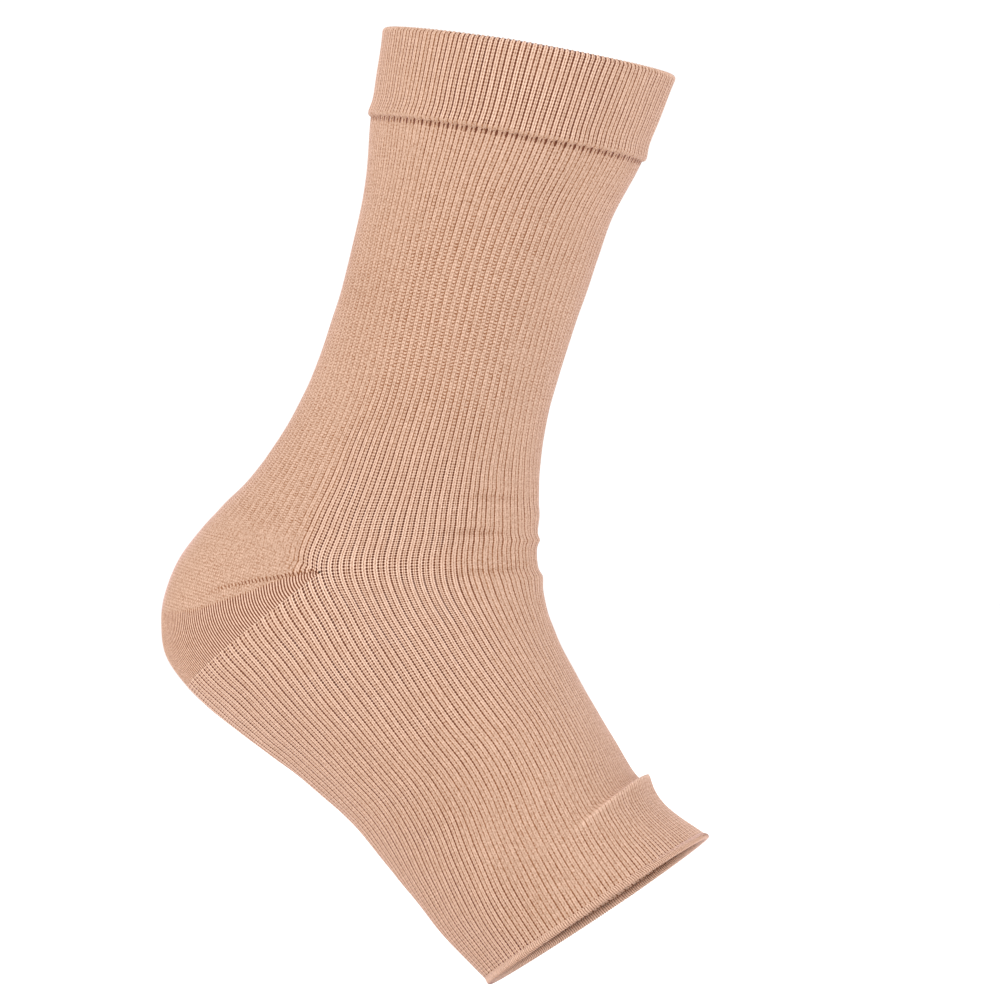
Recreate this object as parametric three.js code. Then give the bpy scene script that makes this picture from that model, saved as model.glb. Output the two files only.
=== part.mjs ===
/**
 * Open-toe compression ankle sleeve, as it stands when worn: a seamless knitted tube that bends at the
 * ankle, with a turned welt at the top, a plain knitted heel pocket and a bound-off edge at the toes.
 *
 * Millimetres, +Z up, +X towards the toes, Y across the ankle. The origin is the middle of the ankle,
 * where the wearer's leg holds the sleeve up.
 *
 * The cloth is described by its courses, the knitted rows that run once round the tube. A course passes
 * through a front point, a side point on each side and a back point. The wales, the columns of stitches,
 * run down the sleeve across the courses, and one wale in two stands up as a rib.
 */
import * as THREE from "three";

// --- Driving dimensions -------------------------------------------------------------------------------

const RIBS = 84; // raised ribs round the sleeve, the same number from the welt to the toes
const RIB_RELIEF = 0.4; // how far a rib stands above the groove beside it
const WALL = 1.5; // rib crest to the plain inside of the tube
const WELT_WALL = 2.2; // two layers of the turned welt
const HEEL_WALL = 1.3; // plain knit of the heel pocket
const TOE_EDGE_WALL = 1.9; // bound-off loops, a little thicker than the tube
const TOE_EDGE_PROUD = 0.35; // how far those loops stand out over the tube
const INSIDE_STEP = 4; // outer points to one point of the plain inside

const WELT_LIP = 1.3; // how far the welt's lower edge stands out over the tube
const SEAM_ROWS = 0.02; // half of the gap at a seam, as a share of the distance between two sections
const HEEL_GAP = 0.16; // the heel pocket's own half of the gap at its edges
const HEEL_CORNER_WALE = 1; // wales from the gore corner to the pocket's first column
const HEEL_ROWS = 10; // rows of points down the heel pocket
const ARC_SPANS = 64; // short spans in which a quarter of a course is measured

const COLOUR = { tube: 0xd2a98f, welt: 0xd0a58c, heel: 0xd3a78c, edge: 0xdab49b };

/**
 * Sections of the leg, from the welt's top fold down to the course that meets the gore corners.
 * front, side and back are [x, z]; halfWidth is the side point's distance from the middle plane;
 * bow lifts the back half of the course above its straight line.
 */
const LEG_SECTIONS = [
  { front: [73.2, 132.8], side: [32.5, 140.4], back: [-13.2, 147.8], halfWidth: 42.0, bow: 0 },
  { front: [62.6, 107.8], side: [25.2, 114.4], back: [-16.9, 121.2], halfWidth: 39.8, bow: 0 },
  { front: [53.3, 90.0], side: [19.8, 96.4], back: [-18.9, 100.5], halfWidth: 37.2, bow: 0 },
  { front: [47.0, 71.5], side: [14.0, 75.2], back: [-24.0, 78.5], halfWidth: 34.6, bow: 0 },
  { front: [40.0, 51.5], side: [8.6, 55.0], back: [-29.9, 59.0], halfWidth: 33.0, bow: 0 },
  { front: [35.0, 34.0], side: [3.0, 37.5], back: [-37.2, 41.0], halfWidth: 32.0, bow: 0.5 },
  { front: [32.7, 20.0], side: [-3.5, 23.5], back: [-45.0, 27.2], halfWidth: 31.7, bow: 1.0 },
  { front: [32.3, 9.5], side: [-10.5, 10.5], back: [-53.4, 16.2], halfWidth: 31.8, bow: 1.6 },
  { front: [32.0, 0.5], side: [-17.8, -1.0], back: [-61.6, 8.0], halfWidth: 32.0, bow: 2.0 },
  { front: [31.9, -8.8], side: [-25.0, -12.0], back: [-69.0, 0.4], halfWidth: 32.2, bow: 2.2 },
];

/** Back points of the heel pocket between the leg's last section and the foot's first. */
const HEEL_BACKS = [
  [-75.8, -8.4],
  [-80.2, -18.2],
  [-81.6, -27.8],
  [-80.0, -37.8],
];

/**
 * Sections of the foot, from the gore corners to the toe edge. The first shares its front and sides
 * with the leg.
 */
const FOOT_SECTIONS = [
  { front: [31.9, -8.8], side: [-25.0, -12.0], back: [-73.4, -47.2], halfWidth: 32.2, bow: 0 },
  { front: [33.0, -15.6], side: [-15.6, -23.6], back: [-62.6, -56.6], halfWidth: 32.5, bow: 0 },
  { front: [34.7, -23.0], side: [-4.8, -35.4], back: [-51.8, -64.4], halfWidth: 33.0, bow: 0 },
  { front: [37.8, -31.8], side: [5.8, -46.8], back: [-41.4, -71.6], halfWidth: 33.8, bow: 0 },
  { front: [42.6, -41.2], side: [14.8, -56.2], back: [-31.2, -79.6], halfWidth: 35.0, bow: 0 },
  { front: [48.0, -50.6], side: [22.8, -64.8], back: [-21.7, -88.0], halfWidth: 36.2, bow: 0 },
  { front: [54.0, -60.6], side: [30.0, -74.0], back: [-13.2, -97.8], halfWidth: 37.4, bow: 0 },
  { front: [60.4, -71.0], side: [37.2, -84.6], back: [-4.5, -108.0], halfWidth: 38.4, bow: 0 },
  { front: [69.2, -80.2], side: [45.2, -96.6], back: [6.0, -120.5], halfWidth: 39.2, bow: 0 },
  { front: [82.4, -89.3], side: [53.4, -109.8], back: [19.2, -133.2], halfWidth: 40.0, bow: 0 },
];

/**
 * Folds of the worn cloth: an upper ankle crease, a ridge at the ankle, one on the instep and the fold
 * behind the toe band. at is the section number of the crest at the front (9 is the gore corner's
 * course); rise is the height; above and below are the slopes' lengths towards the welt and the toes;
 * lean moves the crest towards the welt; near and far are how many degrees round from the front the fold
 * fades out, on the -Y and the +Y side; drift moves the crest towards the toes at the sides, in sections.
 */
const FOLDS = [
  { at: 7.55, rise: 0.4, above: 2.6, below: 3.0, lean: 0, near: 40, far: 55, drift: 0 },
  { at: 8.38, rise: 1.1, above: 3.0, below: 3.2, lean: 0, near: 62, far: 48, drift: -0.2 },
  { at: 9.86, rise: 1.2, above: 3.0, below: 3.4, lean: 0, near: 50, far: 64, drift: 0.2 },
  { at: 16.4, rise: 3.0, above: 2.2, below: 3.8, lean: 1.1, near: 84, far: 70, drift: 0.3 },
];

/** Section numbers of the outer rings of the leg and the foot, closer together at the folds. */
const LEG_STATIONS = [1, 2.2, 3.5, 4.8, 6.1, 7.2, 8.0, 8.38, 8.72, 9];
const FOOT_STATIONS = [9, 9.45, 9.86, 10.35, 11.4, 12.7, 14.0, 15.3, 16.12, 16.38, 16.62, 17.05, 17.84];

/**
 * The turned welt from its crown down the outside, under the lip and up the plain inside. at is the
 * section number, and in is the depth below the surface.
 */
const WELT_PROFILE = [
  { at: 0.0, in: 1.1, ribbed: true },
  { at: 0.014, in: 0.3, ribbed: true },
  { at: 0.05, in: 0.0, ribbed: true },
  { at: 0.86, in: 0.0, ribbed: true },
  { at: 0.94, in: -WELT_LIP, ribbed: true },
  { at: 0.988, in: 0.2, ribbed: true },
  { at: 0.988, in: WELT_WALL, ribbed: false },
  { at: 0.5, in: WELT_WALL, ribbed: false },
  { at: 0.05, in: WELT_WALL, ribbed: false },
];

/** The bound-off loops at the toes, from the tube's end round the outside and back along the inside. */
const TOE_EDGE_PROFILE = [
  { at: 17.86, in: 0.0, ribbed: true },
  { at: 17.93, in: -TOE_EDGE_PROUD, ribbed: true },
  { at: 18.0, in: 0.25, ribbed: true },
  { at: 18.0, in: TOE_EDGE_WALL - TOE_EDGE_PROUD, ribbed: false },
  { at: 17.86, in: TOE_EDGE_WALL - TOE_EDGE_PROUD, ribbed: false },
];

// --- Lines through the sections -----------------------------------------------------------------------

const OUTER_POINTS = 2 * RIBS; // a rib crest and a groove for each rib
const QUARTER = OUTER_POINTS / 4;
const GORE = LEG_SECTIONS.length - 1; // section number of the gore corners
const HEEL_STEPS = HEEL_BACKS.length + 1;

const sections = [...LEG_SECTIONS, ...FOOT_SECTIONS.slice(1)];
const frontLine = sections.map((row) => row.front);
const sideLine = sections.map((row) => row.side);
const widthLine = sections.map((row) => [row.halfWidth]);
const bowLine = sections.map((row) => [row.bow]);
const backLine = [
  ...LEG_SECTIONS.map((row) => row.back),
  ...HEEL_BACKS,
  ...FOOT_SECTIONS.map((row) => row.back),
];

/** A smooth line through points of any dimension (Catmull-Rom), at a position counted in points. */
function onLine(points, position) {
  const last = points.length - 1;
  const i = Math.min(Math.max(Math.floor(position), 0), last - 1);
  const f = position - i;
  const beyond = (a, b) => a.map((value, k) => 2 * value - b[k]);
  const before = i > 0 ? points[i - 1] : beyond(points[0], points[1]);
  const after = i + 2 <= last ? points[i + 2] : beyond(points[last], points[last - 1]);
  return points[i].map((b, k) => {
    const a = before[k];
    const c = points[i + 1][k];
    const d = after[k];
    const squared = 2 * a - 5 * b + 4 * c - d;
    const cubed = 3 * b - a - 3 * c + d;
    return 0.5 * (2 * b + (c - a) * f + squared * f ** 2 + cubed * f ** 3);
  });
}

/**
 * One course of the cloth. zone is "leg", "heel" or "foot"; at is its section number, or for the heel the
 * share of the way from the leg (0) to the foot (1). Leg and foot share their front and sides.
 */
function courseAt(zone, at) {
  const section = zone === "heel" ? GORE : at;
  const backPosition = { leg: at, heel: GORE + at * HEEL_STEPS, foot: at + HEEL_STEPS }[zone];
  const bowShare = { leg: 1, heel: (1 - at) ** 2, foot: 0 }[zone]; // the pocket flattens the leg's bow
  return {
    front: onLine(frontLine, section),
    side: onLine(sideLine, section),
    back: onLine(backLine, backPosition),
    halfWidth: onLine(widthLine, section)[0],
    bow: onLine(bowLine, section)[0] * bowShare,
  };
}

/** The point at an angle round a course: 0 at the front, 90 degrees on the -Y side, 180 at the back. */
function coursePoint(course, angle) {
  const along = Math.abs(Math.cos(angle));
  const end = Math.cos(angle) > 0 ? course.front : course.back;
  const run = [end[0] - course.side[0], end[1] - course.side[1]];
  const length = Math.hypot(...run);
  const lift = Math.cos(angle) > 0 ? 0 : 4 * course.bow * along * (1 - along);
  return new THREE.Vector3(
    course.side[0] + run[0] * along + (lift * run[1]) / length,
    -course.halfWidth * Math.sin(angle),
    course.side[1] + run[1] * along - (lift * run[0]) / length,
  );
}

// --- Folds and the cloth's skins ----------------------------------------------------------------------

const NUDGE = 0.004; // step for slopes, in sections and in radians

/** A soft step from 0 to 1. */
function smooth(x) {
  const share = Math.min(Math.max(x, 0), 1);
  return share * share * (3 - 2 * share);
}

/** Length of one section step along the front of the sleeve, near a section number. */
function frontStep(at) {
  const [ax, az] = onLine(frontLine, at - NUDGE);
  const [bx, bz] = onLine(frontLine, at + NUDGE);
  return Math.hypot(bx - ax, bz - az) / (2 * NUDGE);
}

/** How far all folds lift the cloth and lean it towards the welt, at one place. */
function foldsAt(zone, at, angle) {
  const around = angle > Math.PI ? 2 * Math.PI - angle : angle;
  const total = { rise: 0, lean: 0 };
  if (zone === "heel") return total;
  for (const fold of FOLDS) {
    const reach = THREE.MathUtils.degToRad(angle > Math.PI ? fold.far : fold.near);
    const fade = smooth(1 - around / reach);
    const crest = fold.at + fold.drift * (1 - Math.cos(around));
    const distance = (at - crest) * frontStep(fold.at);
    const slope = distance < 0 ? fold.above : fold.below;
    const bump = fade * Math.exp(-((distance / slope) ** 2));
    total.rise += fold.rise * bump;
    total.lean += fold.lean * bump;
  }
  return total;
}

/** The bare surface's point with its outward normal and its direction down the wales. */
function bareFrame(zone, at, angle) {
  const step = zone === "heel" ? NUDGE / HEEL_STEPS : NUDGE;
  const course = courseAt(zone, at);
  const below = coursePoint(courseAt(zone, at + step), angle);
  const down = below.sub(coursePoint(courseAt(zone, at - step), angle));
  const round = coursePoint(course, angle + NUDGE).sub(coursePoint(course, angle - NUDGE));
  const normal = round.cross(down).normalize();
  return { point: coursePoint(course, angle), normal, down: down.normalize() };
}

/** The folded cloth's outer surface, before ribs. */
function folded(zone, at, angle) {
  const { point, normal, down } = bareFrame(zone, at, angle);
  const { rise, lean } = foldsAt(zone, at, angle);
  return point.addScaledVector(normal, rise).addScaledVector(down, -lean);
}

/** A point of the cloth at a depth below its folded outer surface. */
function skin(zone, at, angle, depth) {
  const step = zone === "heel" ? NUDGE / HEEL_STEPS : NUDGE;
  const down = folded(zone, at + step, angle).sub(folded(zone, at - step, angle));
  const round = folded(zone, at, angle + NUDGE).sub(folded(zone, at, angle - NUDGE));
  const normal = round.cross(down).normalize();
  return folded(zone, at, angle).addScaledVector(normal, -depth);
}

/** Angles of all outer points of a course, so that each quarter of it has its wales equally far apart. */
function waleAngles(zone, at) {
  const course = courseAt(zone, at);
  const span = Math.PI / 2 / ARC_SPANS;
  const angles = [];
  for (let quarter = 0; quarter < 4; quarter++) {
    const start = quarter * ARC_SPANS * span;
    const lengths = [0];
    let previous = coursePoint(course, start);
    for (let i = 1; i <= ARC_SPANS; i++) {
      const point = coursePoint(course, start + i * span);
      lengths.push(lengths[i - 1] + point.distanceTo(previous));
      previous = point;
    }
    for (let k = 0; k < QUARTER; k++) {
      const wanted = (lengths[ARC_SPANS] * k) / QUARTER;
      let i = 0;
      while (lengths[i + 1] <= wanted) i++;
      const share = (wanted - lengths[i]) / (lengths[i + 1] - lengths[i]);
      angles.push(start + (i + share) * span);
    }
  }
  return angles;
}

/** A ring of points at a depth: every wale with its rib relief, or the plain inside's fewer points. */
function clothRing(zone, at, depth, ribbed) {
  const points = [];
  waleAngles(zone, at).forEach((angle, wale) => {
    if (ribbed) {
      const groove = wale % 2 === 1 ? RIB_RELIEF : 0;
      points.push(skin(zone, at, angle, depth + groove));
    } else if (wale % INSIDE_STEP === 0) {
      points.push(skin(zone, at, angle, depth));
    }
  });
  return points;
}

// --- Closed bodies --------------------------------------------------------------------------------------

/** Collects triangles over shared points and gives one closed geometry. */
class Body {
  positions = [];
  triangles = [];

  /** Adds points and returns their numbers. */
  add(points) {
    const first = this.positions.length / 3;
    points.forEach((point) => this.positions.push(point.x, point.y, point.z));
    return points.map((_, i) => first + i);
  }

  /** Joins two rings of equal length, or one with INSIDE_STEP times the other's points. */
  bridge(upper, lower) {
    if (upper.length === lower.length) {
      upper.forEach((a, k) => {
        const next = (k + 1) % upper.length;
        this.quad(a, upper[next], lower[next], lower[k]);
      });
      return;
    }
    const fineAbove = upper.length > lower.length;
    const fine = fineAbove ? upper : lower;
    const coarse = fineAbove ? lower : upper;
    const half = INSIDE_STEP / 2;
    const put = (a, b, c) => this.triangles.push(...(fineAbove ? [a, b, c] : [a, c, b]));
    coarse.forEach((point, i) => {
      const next = coarse[(i + 1) % coarse.length];
      for (let k = 0; k < INSIDE_STEP; k++) {
        const a = fine[i * INSIDE_STEP + k];
        const b = fine[(i * INSIDE_STEP + k + 1) % fine.length];
        put(a, b, k < half ? point : next);
      }
      put(fine[i * INSIDE_STEP + half], next, point);
    });
  }

  /** Two triangles over four points, counter-clockwise seen from outside. */
  quad(a, b, c, d) {
    this.triangles.push(a, b, c, a, c, d);
  }

  /** The finished indexed geometry. */
  geometry() {
    const geometry = new THREE.BufferGeometry();
    geometry.setAttribute("position", new THREE.Float32BufferAttribute(this.positions, 3));
    geometry.setIndex(this.triangles);
    geometry.computeVertexNormals();
    return geometry;
  }
}

/** A tube wall from rings that run down its outside and back up its inside. */
function tubeBody(rings) {
  const body = new Body();
  const numbered = rings.map((ring) => body.add(ring));
  numbered.forEach((ring, i) => body.bridge(ring, numbered[(i + 1) % numbered.length]));
  return body.geometry();
}

/** A wall between a grid of outer points and a like grid of inner points, closed along its border. */
function patchBody(outerGrid, innerGrid) {
  const body = new Body();
  const outer = outerGrid.map((row) => body.add(row));
  const inner = innerGrid.map((row) => body.add(row));
  const lastRow = outer.length - 1;
  const lastColumn = outer[0].length - 1;
  for (let i = 0; i < lastRow; i++) {
    for (let j = 0; j < lastColumn; j++) {
      body.quad(outer[i][j], outer[i][j + 1], outer[i + 1][j + 1], outer[i + 1][j]);
      body.quad(inner[i + 1][j], inner[i + 1][j + 1], inner[i][j + 1], inner[i][j]);
    }
    const [right, rightBelow] = [i, i + 1].map((row) => [inner[row][lastColumn], outer[row][lastColumn]]);
    body.quad(outer[i][0], outer[i + 1][0], inner[i + 1][0], inner[i][0]);
    body.quad(right[0], rightBelow[0], rightBelow[1], right[1]);
  }
  for (let j = 0; j < lastColumn; j++) {
    body.quad(inner[0][j], inner[0][j + 1], outer[0][j + 1], outer[0][j]);
    body.quad(outer[lastRow][j], outer[lastRow][j + 1], inner[lastRow][j + 1], inner[lastRow][j]);
  }
  return body.geometry();
}

// --- Pieces ---------------------------------------------------------------------------------------------

/** A ribbed length of tube between its first and last station. */
function ribbedTube(zone, stations) {
  const outside = stations.map((at) => clothRing(zone, at, 0, true));
  const inside = [...stations].reverse().map((at) => clothRing(zone, at, WALL, false));
  return tubeBody([...outside, ...inside]);
}

/** The leg of the tube, from the welt's linking seam to the course through the gore corners. */
function legTube() {
  const stations = [...LEG_STATIONS];
  stations[stations.length - 1] -= SEAM_ROWS;
  return ribbedTube("leg", stations);
}

/** The foot of the tube, from the gore corners to the bound-off edge. */
function footTube() {
  const stations = [...FOOT_STATIONS];
  stations[0] += SEAM_ROWS;
  return ribbedTube("foot", stations);
}

/** A closed ring of cloth from a profile table. */
function profiledRing(zone, profile) {
  return tubeBody(profile.map((row) => clothRing(zone, row.at, row.in, row.ribbed)));
}

/** The plain heel pocket: a lens between the leg's and the foot's back halves, up to both gore corners. */
function heelPocket() {
  const columns = QUARTER;
  const first = QUARTER + HEEL_CORNER_WALE;
  const last = 3 * QUARTER - HEEL_CORNER_WALE;
  const grid = (depth) => {
    const result = [];
    for (let i = 0; i < HEEL_ROWS; i++) {
      const row = [];
      for (let j = 0; j < columns; j++) {
        const wale = first + ((last - first) * j) / (columns - 1);
        row.push(heelPoint(i / (HEEL_ROWS - 1), wale, depth));
      }
      result.push(row);
    }
    return result;
  };
  return patchBody(grid(0), grid(HEEL_WALL));
}

/** A point of the heel pocket, share of the way down it, kept clear of the tube's two edges. */
function heelPoint(share, wale, depth) {
  const across = (at) => skin("heel", at, heelAngle(at, wale), 0);
  let width = 0;
  let previous = across(0);
  for (let i = 1; i <= HEEL_STEPS; i++) {
    const point = across(i / HEEL_STEPS);
    width += point.distanceTo(previous);
    previous = point;
  }
  const inset = HEEL_GAP / width;
  const at = inset + share * (1 - 2 * inset);
  return skin("heel", at, heelAngle(at, wale), depth);
}

/** The angle of a wale of the heel pocket, counted as on the tube, at a share of the way down. */
function heelAngle(at, wale) {
  const angles = waleAngles("heel", at);
  const whole = Math.floor(wale);
  return angles[whole] + (wale - whole) * (angles[whole + 1] - angles[whole]);
}

/** A named mesh with a plain textile finish. */
function piece(name, geometry, color) {
  const material = new THREE.MeshStandardMaterial({ color, roughness: 0.85, metalness: 0 });
  const mesh = new THREE.Mesh(geometry, material);
  mesh.name = name;
  return mesh;
}

const sleeve = new THREE.Group();
sleeve.add(piece("welt", profiledRing("leg", WELT_PROFILE), COLOUR.welt));
sleeve.add(piece("leg", legTube(), COLOUR.tube));
sleeve.add(piece("heel_pocket", heelPocket(), COLOUR.heel));
sleeve.add(piece("foot", footTube(), COLOUR.tube));
sleeve.add(piece("toe_edge", profiledRing("foot", TOE_EDGE_PROFILE), COLOUR.edge));

export default sleeve;
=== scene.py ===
"""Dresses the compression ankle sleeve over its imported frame.

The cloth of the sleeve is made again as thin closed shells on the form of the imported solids, with every
rib, groove, stitch hole and bound-off loop, and shown on a pale floor in soft light. Cloth sizes are in
millimetres, as the form's tables are, and are turned into metres where a mesh is made.
"""

import logging
import math
from collections.abc import Callable, Sequence
from dataclasses import astuple, dataclass, field
from enum import Enum

import bpy
import numpy as np
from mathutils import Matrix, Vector


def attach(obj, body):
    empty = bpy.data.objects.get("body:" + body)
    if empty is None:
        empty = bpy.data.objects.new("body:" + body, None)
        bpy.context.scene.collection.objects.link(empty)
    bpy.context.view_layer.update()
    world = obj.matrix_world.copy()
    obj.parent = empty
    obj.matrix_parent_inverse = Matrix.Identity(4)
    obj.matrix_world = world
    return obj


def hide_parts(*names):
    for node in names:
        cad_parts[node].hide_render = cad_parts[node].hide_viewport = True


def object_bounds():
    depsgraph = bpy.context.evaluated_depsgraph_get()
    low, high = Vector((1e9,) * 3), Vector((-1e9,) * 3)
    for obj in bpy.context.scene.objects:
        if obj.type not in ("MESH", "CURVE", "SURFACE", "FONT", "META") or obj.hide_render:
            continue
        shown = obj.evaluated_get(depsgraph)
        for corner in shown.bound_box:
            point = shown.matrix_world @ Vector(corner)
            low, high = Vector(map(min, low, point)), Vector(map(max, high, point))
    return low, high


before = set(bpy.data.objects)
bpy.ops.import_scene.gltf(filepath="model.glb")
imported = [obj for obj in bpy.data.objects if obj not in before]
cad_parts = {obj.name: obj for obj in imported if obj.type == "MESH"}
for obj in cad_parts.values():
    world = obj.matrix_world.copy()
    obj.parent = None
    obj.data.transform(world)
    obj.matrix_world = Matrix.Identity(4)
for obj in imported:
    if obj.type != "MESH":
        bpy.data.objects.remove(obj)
CAD_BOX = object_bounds()

Array = np.ndarray
Colour = tuple[float, float, float]
Table = tuple[tuple[float, float], ...]
SurfaceFunction = Callable[["Zone", Array, Array], Array]

MM = 0.001
RIBS = 84
WALES = 2 * RIBS
NEEDLES_PER_WALE = 2
COURSE_PITCH = 0.96
TAU = math.tau
SPACING_STEPS = 2000

log = logging.getLogger("ankle_sleeve")


# --- The form of the worn cloth ---------------------------------------------------------------------


class Zone(Enum):
    """The three knitted stretches of the sleeve."""

    LEG = "leg"
    HEEL = "heel"
    FOOT = "foot"


@dataclass(frozen=True)
class Section:
    """One course of the cloth: its front, side and back points as (x, z), half width and back bow."""

    front: tuple[float, float]
    side: tuple[float, float]
    back: tuple[float, float]
    half_width: float
    bow: float = 0.0


@dataclass(frozen=True)
class Fold:
    """A fold that crosses the front of the sleeve and fades round its two sides.

    at is the section number of the crest at the front, rise its height, above and below the lengths of its
    slopes towards the welt and the toes, lean the crest's shift towards the welt, near and far the degrees
    round from the front where it fades out on the -Y and the +Y side, and drift the crest's shift towards
    the toes at the sides, in sections. sharpness is 2 for a round crest and less for a pinched one.
    """

    at: float
    rise: float
    above: float
    below: float
    lean: float
    near: float
    far: float
    drift: float
    sharpness: float = 2.0


@dataclass(frozen=True)
class Crease:
    """A soft ridge, or a trough where rise is negative, that lies anywhere on the leg or the foot.

    at and turn are the section number and the degrees round from the front of its middle, reach is half its
    length in degrees, slope half its width in millimetres, and slant its tilt in sections per radian.
    """

    at: float
    turn: float
    rise: float
    reach: float
    slope: float
    slant: float = 0.0


@dataclass(frozen=True)
class Course:
    """Places on the lines through the sections: the points, half width and bow of one or many courses."""

    front: Array
    side: Array
    back: Array
    half_width: Array
    bow: Array


LEG_SECTIONS = (
    Section((73.2, 132.8), (32.5, 140.4), (-13.2, 147.8), 42.0),
    Section((62.6, 107.8), (25.2, 114.4), (-16.9, 121.2), 39.8),
    Section((53.3, 90.0), (19.8, 96.4), (-18.9, 100.5), 37.2),
    Section((47.0, 71.5), (14.0, 75.2), (-24.0, 78.5), 34.6),
    Section((40.0, 51.5), (8.6, 55.0), (-29.9, 59.0), 33.0),
    Section((35.0, 34.0), (3.0, 37.5), (-37.2, 41.0), 32.0, 0.5),
    Section((32.7, 20.0), (-3.5, 23.5), (-45.0, 27.2), 31.7, 1.0),
    Section((32.3, 9.5), (-10.5, 10.5), (-53.4, 16.2), 31.8, 1.6),
    Section((32.0, 0.5), (-17.8, -1.0), (-61.6, 8.0), 32.0, 2.0),
    Section((31.9, -8.8), (-25.0, -12.0), (-69.0, 0.4), 32.2, 2.2),
)
HEEL_BACKS = ((-75.8, -8.4), (-80.2, -18.2), (-81.6, -27.8), (-80.0, -37.8))
FOOT_SECTIONS = (
    Section((31.9, -8.8), (-25.0, -12.0), (-73.4, -47.2), 32.2),
    Section((33.0, -15.6), (-15.6, -23.6), (-62.6, -56.6), 32.5),
    Section((34.7, -23.0), (-4.8, -35.4), (-51.8, -64.4), 33.0),
    Section((37.8, -31.8), (5.8, -46.8), (-41.4, -71.6), 33.8),
    Section((42.6, -41.2), (14.8, -56.2), (-31.2, -79.6), 35.0),
    Section((48.0, -50.6), (22.8, -64.8), (-21.7, -88.0), 36.2),
    Section((54.0, -60.6), (30.0, -74.0), (-13.2, -97.8), 37.4),
    Section((60.4, -71.0), (37.2, -84.6), (-4.5, -108.0), 38.4),
    Section((69.2, -80.2), (45.2, -96.6), (6.0, -120.5), 39.2),
    Section((82.4, -89.3), (53.4, -109.8), (19.2, -133.2), 40.0),
)

# The section of the gore corners, where the leg's cloth ends, and those where the foot's starts and ends.
GORE_SECTION = 9.0
FOOT_START = 9.002
FOOT_END = 17.9

FOLDS = (
    Fold(at=7.55, rise=0.4, above=2.6, below=3.0, lean=0.0, near=40, far=55, drift=0.0),
    Fold(at=8.36, rise=1.0, above=1.3, below=1.5, lean=0.0, near=62, far=48, drift=-0.3, sharpness=1.6),
    Fold(at=9.74, rise=0.9, above=1.6, below=3.4, lean=0.0, near=50, far=64, drift=0.0, sharpness=1.6),
    Fold(at=16.4, rise=3.2, above=1.2, below=3.4, lean=1.8, near=96, far=76, drift=0.3, sharpness=1.3),
)
CREASES = (
    Crease(at=6.75, turn=42, rise=0.22, reach=22, slope=1.6, slant=-0.1),
    Crease(at=7.0, turn=40, rise=-0.26, reach=24, slope=1.8, slant=-0.1),
    Crease(at=7.84, turn=43, rise=0.34, reach=24, slope=1.4, slant=-0.15),
    Crease(at=8.1, turn=42, rise=-0.36, reach=28, slope=1.7, slant=-0.2),
    Crease(at=9.3, turn=30, rise=-0.28, reach=36, slope=1.8, slant=0.1),
    Crease(at=7.2, turn=-38, rise=0.24, reach=22, slope=1.6, slant=0.2),
    Crease(at=7.5, turn=-42, rise=-0.30, reach=26, slope=1.8, slant=0.3),
    Crease(at=8.25, turn=-46, rise=-0.30, reach=26, slope=1.8, slant=0.4),
    Crease(at=9.3, turn=-40, rise=-0.26, reach=34, slope=3.0, slant=-0.3),
    Crease(at=16.95, turn=40, rise=0.35, reach=34, slope=2.4, slant=0.3),
    Crease(at=16.0, turn=-62, rise=0.30, reach=30, slope=3.0, slant=-0.3),
    Crease(at=3.4, turn=140, rise=-0.08, reach=60, slope=9.0),
    Crease(at=14.6, turn=120, rise=-0.08, reach=50, slope=8.0, slant=0.3),
    Crease(at=13.8, turn=-115, rise=-0.10, reach=50, slope=8.0, slant=-0.3),
)

# The folds whose crests get a painted highlight, by their least rise, the half width of the highlight in
# millimetres, and the degrees over which it fades.
CREST_RISE = 2.0
CREST_WIDTH = 0.8
CREST_FADE = 24.0

# The number of wales from the front to the side line at each section, from the top fold to the toes, and how
# far all of them are turned round the worn sleeve there: a little at the shin and again at the toes. The
# wales stand closer together on the flat sides than at the front and the back, by the share SIDE_CROWDING.
LEG_SIDE_WALES = (40.8, 40.8, 40.6, 40.5, 39.8, 39.4, 40.0, 41.0, 42.0)
GORE_WALES = 43.5
FOOT_SIDE_WALES = (41.1, 38.8, 37.2, 36.3, 36.0, 36.5, 37.5, 39.5, 41.5)
SIDE_WALES = (*LEG_SIDE_WALES, GORE_WALES, *FOOT_SIDE_WALES)
LEG_TWIST = (-3.9, -4.1, -5.0, -5.9, -5.2, -4.0, -3.2, -2.2, -1.0)
FOOT_TWIST = (0.0, 0.0, 0.0, -0.2, -0.5, -1.9, -4.4, -7.2, -9.0)
SIDE_CROWDING = (0.0, 0.02, 0.05, 0.07, 0.07, 0.06, 0.04, 0.02, 0.0, 0.0, *(0.07,) * 6, 0.04, 0.0, 0.0)
TWIST = (*LEG_TWIST, 0.0, *FOOT_TWIST)

# Whether the side line ends (-1) or starts (1) each quarter of a course, from the front round the -Y side.
SIDE_AT_END = np.array([-1.0, 1.0, -1.0, 1.0])


def soft_step(value: Array) -> Array:
    """Turns 0 to 1 into a soft step, flat outside that range."""
    share = np.clip(value, 0.0, 1.0)
    return share * share * (3 - 2 * share)


def wave(place: Array) -> Array:
    """A wave from 0 to 1 that peaks at whole numbers."""
    return 0.5 + 0.5 * np.cos(TAU * place)


def signed_turn(angle: Array) -> Array:
    """Turns from the front, above 0 on the -Y side and below 0 on the +Y side."""
    return np.where(angle > math.pi, angle - TAU, angle)


def from_front(angle: Array) -> Array:
    """How far turns lie round from the front on either side, in degrees."""
    return np.degrees(np.abs(signed_turn(angle)))


def read_table(place: Array, table: Table) -> Array:
    """The values at places along a table of places and values."""
    return np.interp(place, *np.array(table).T)


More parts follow.
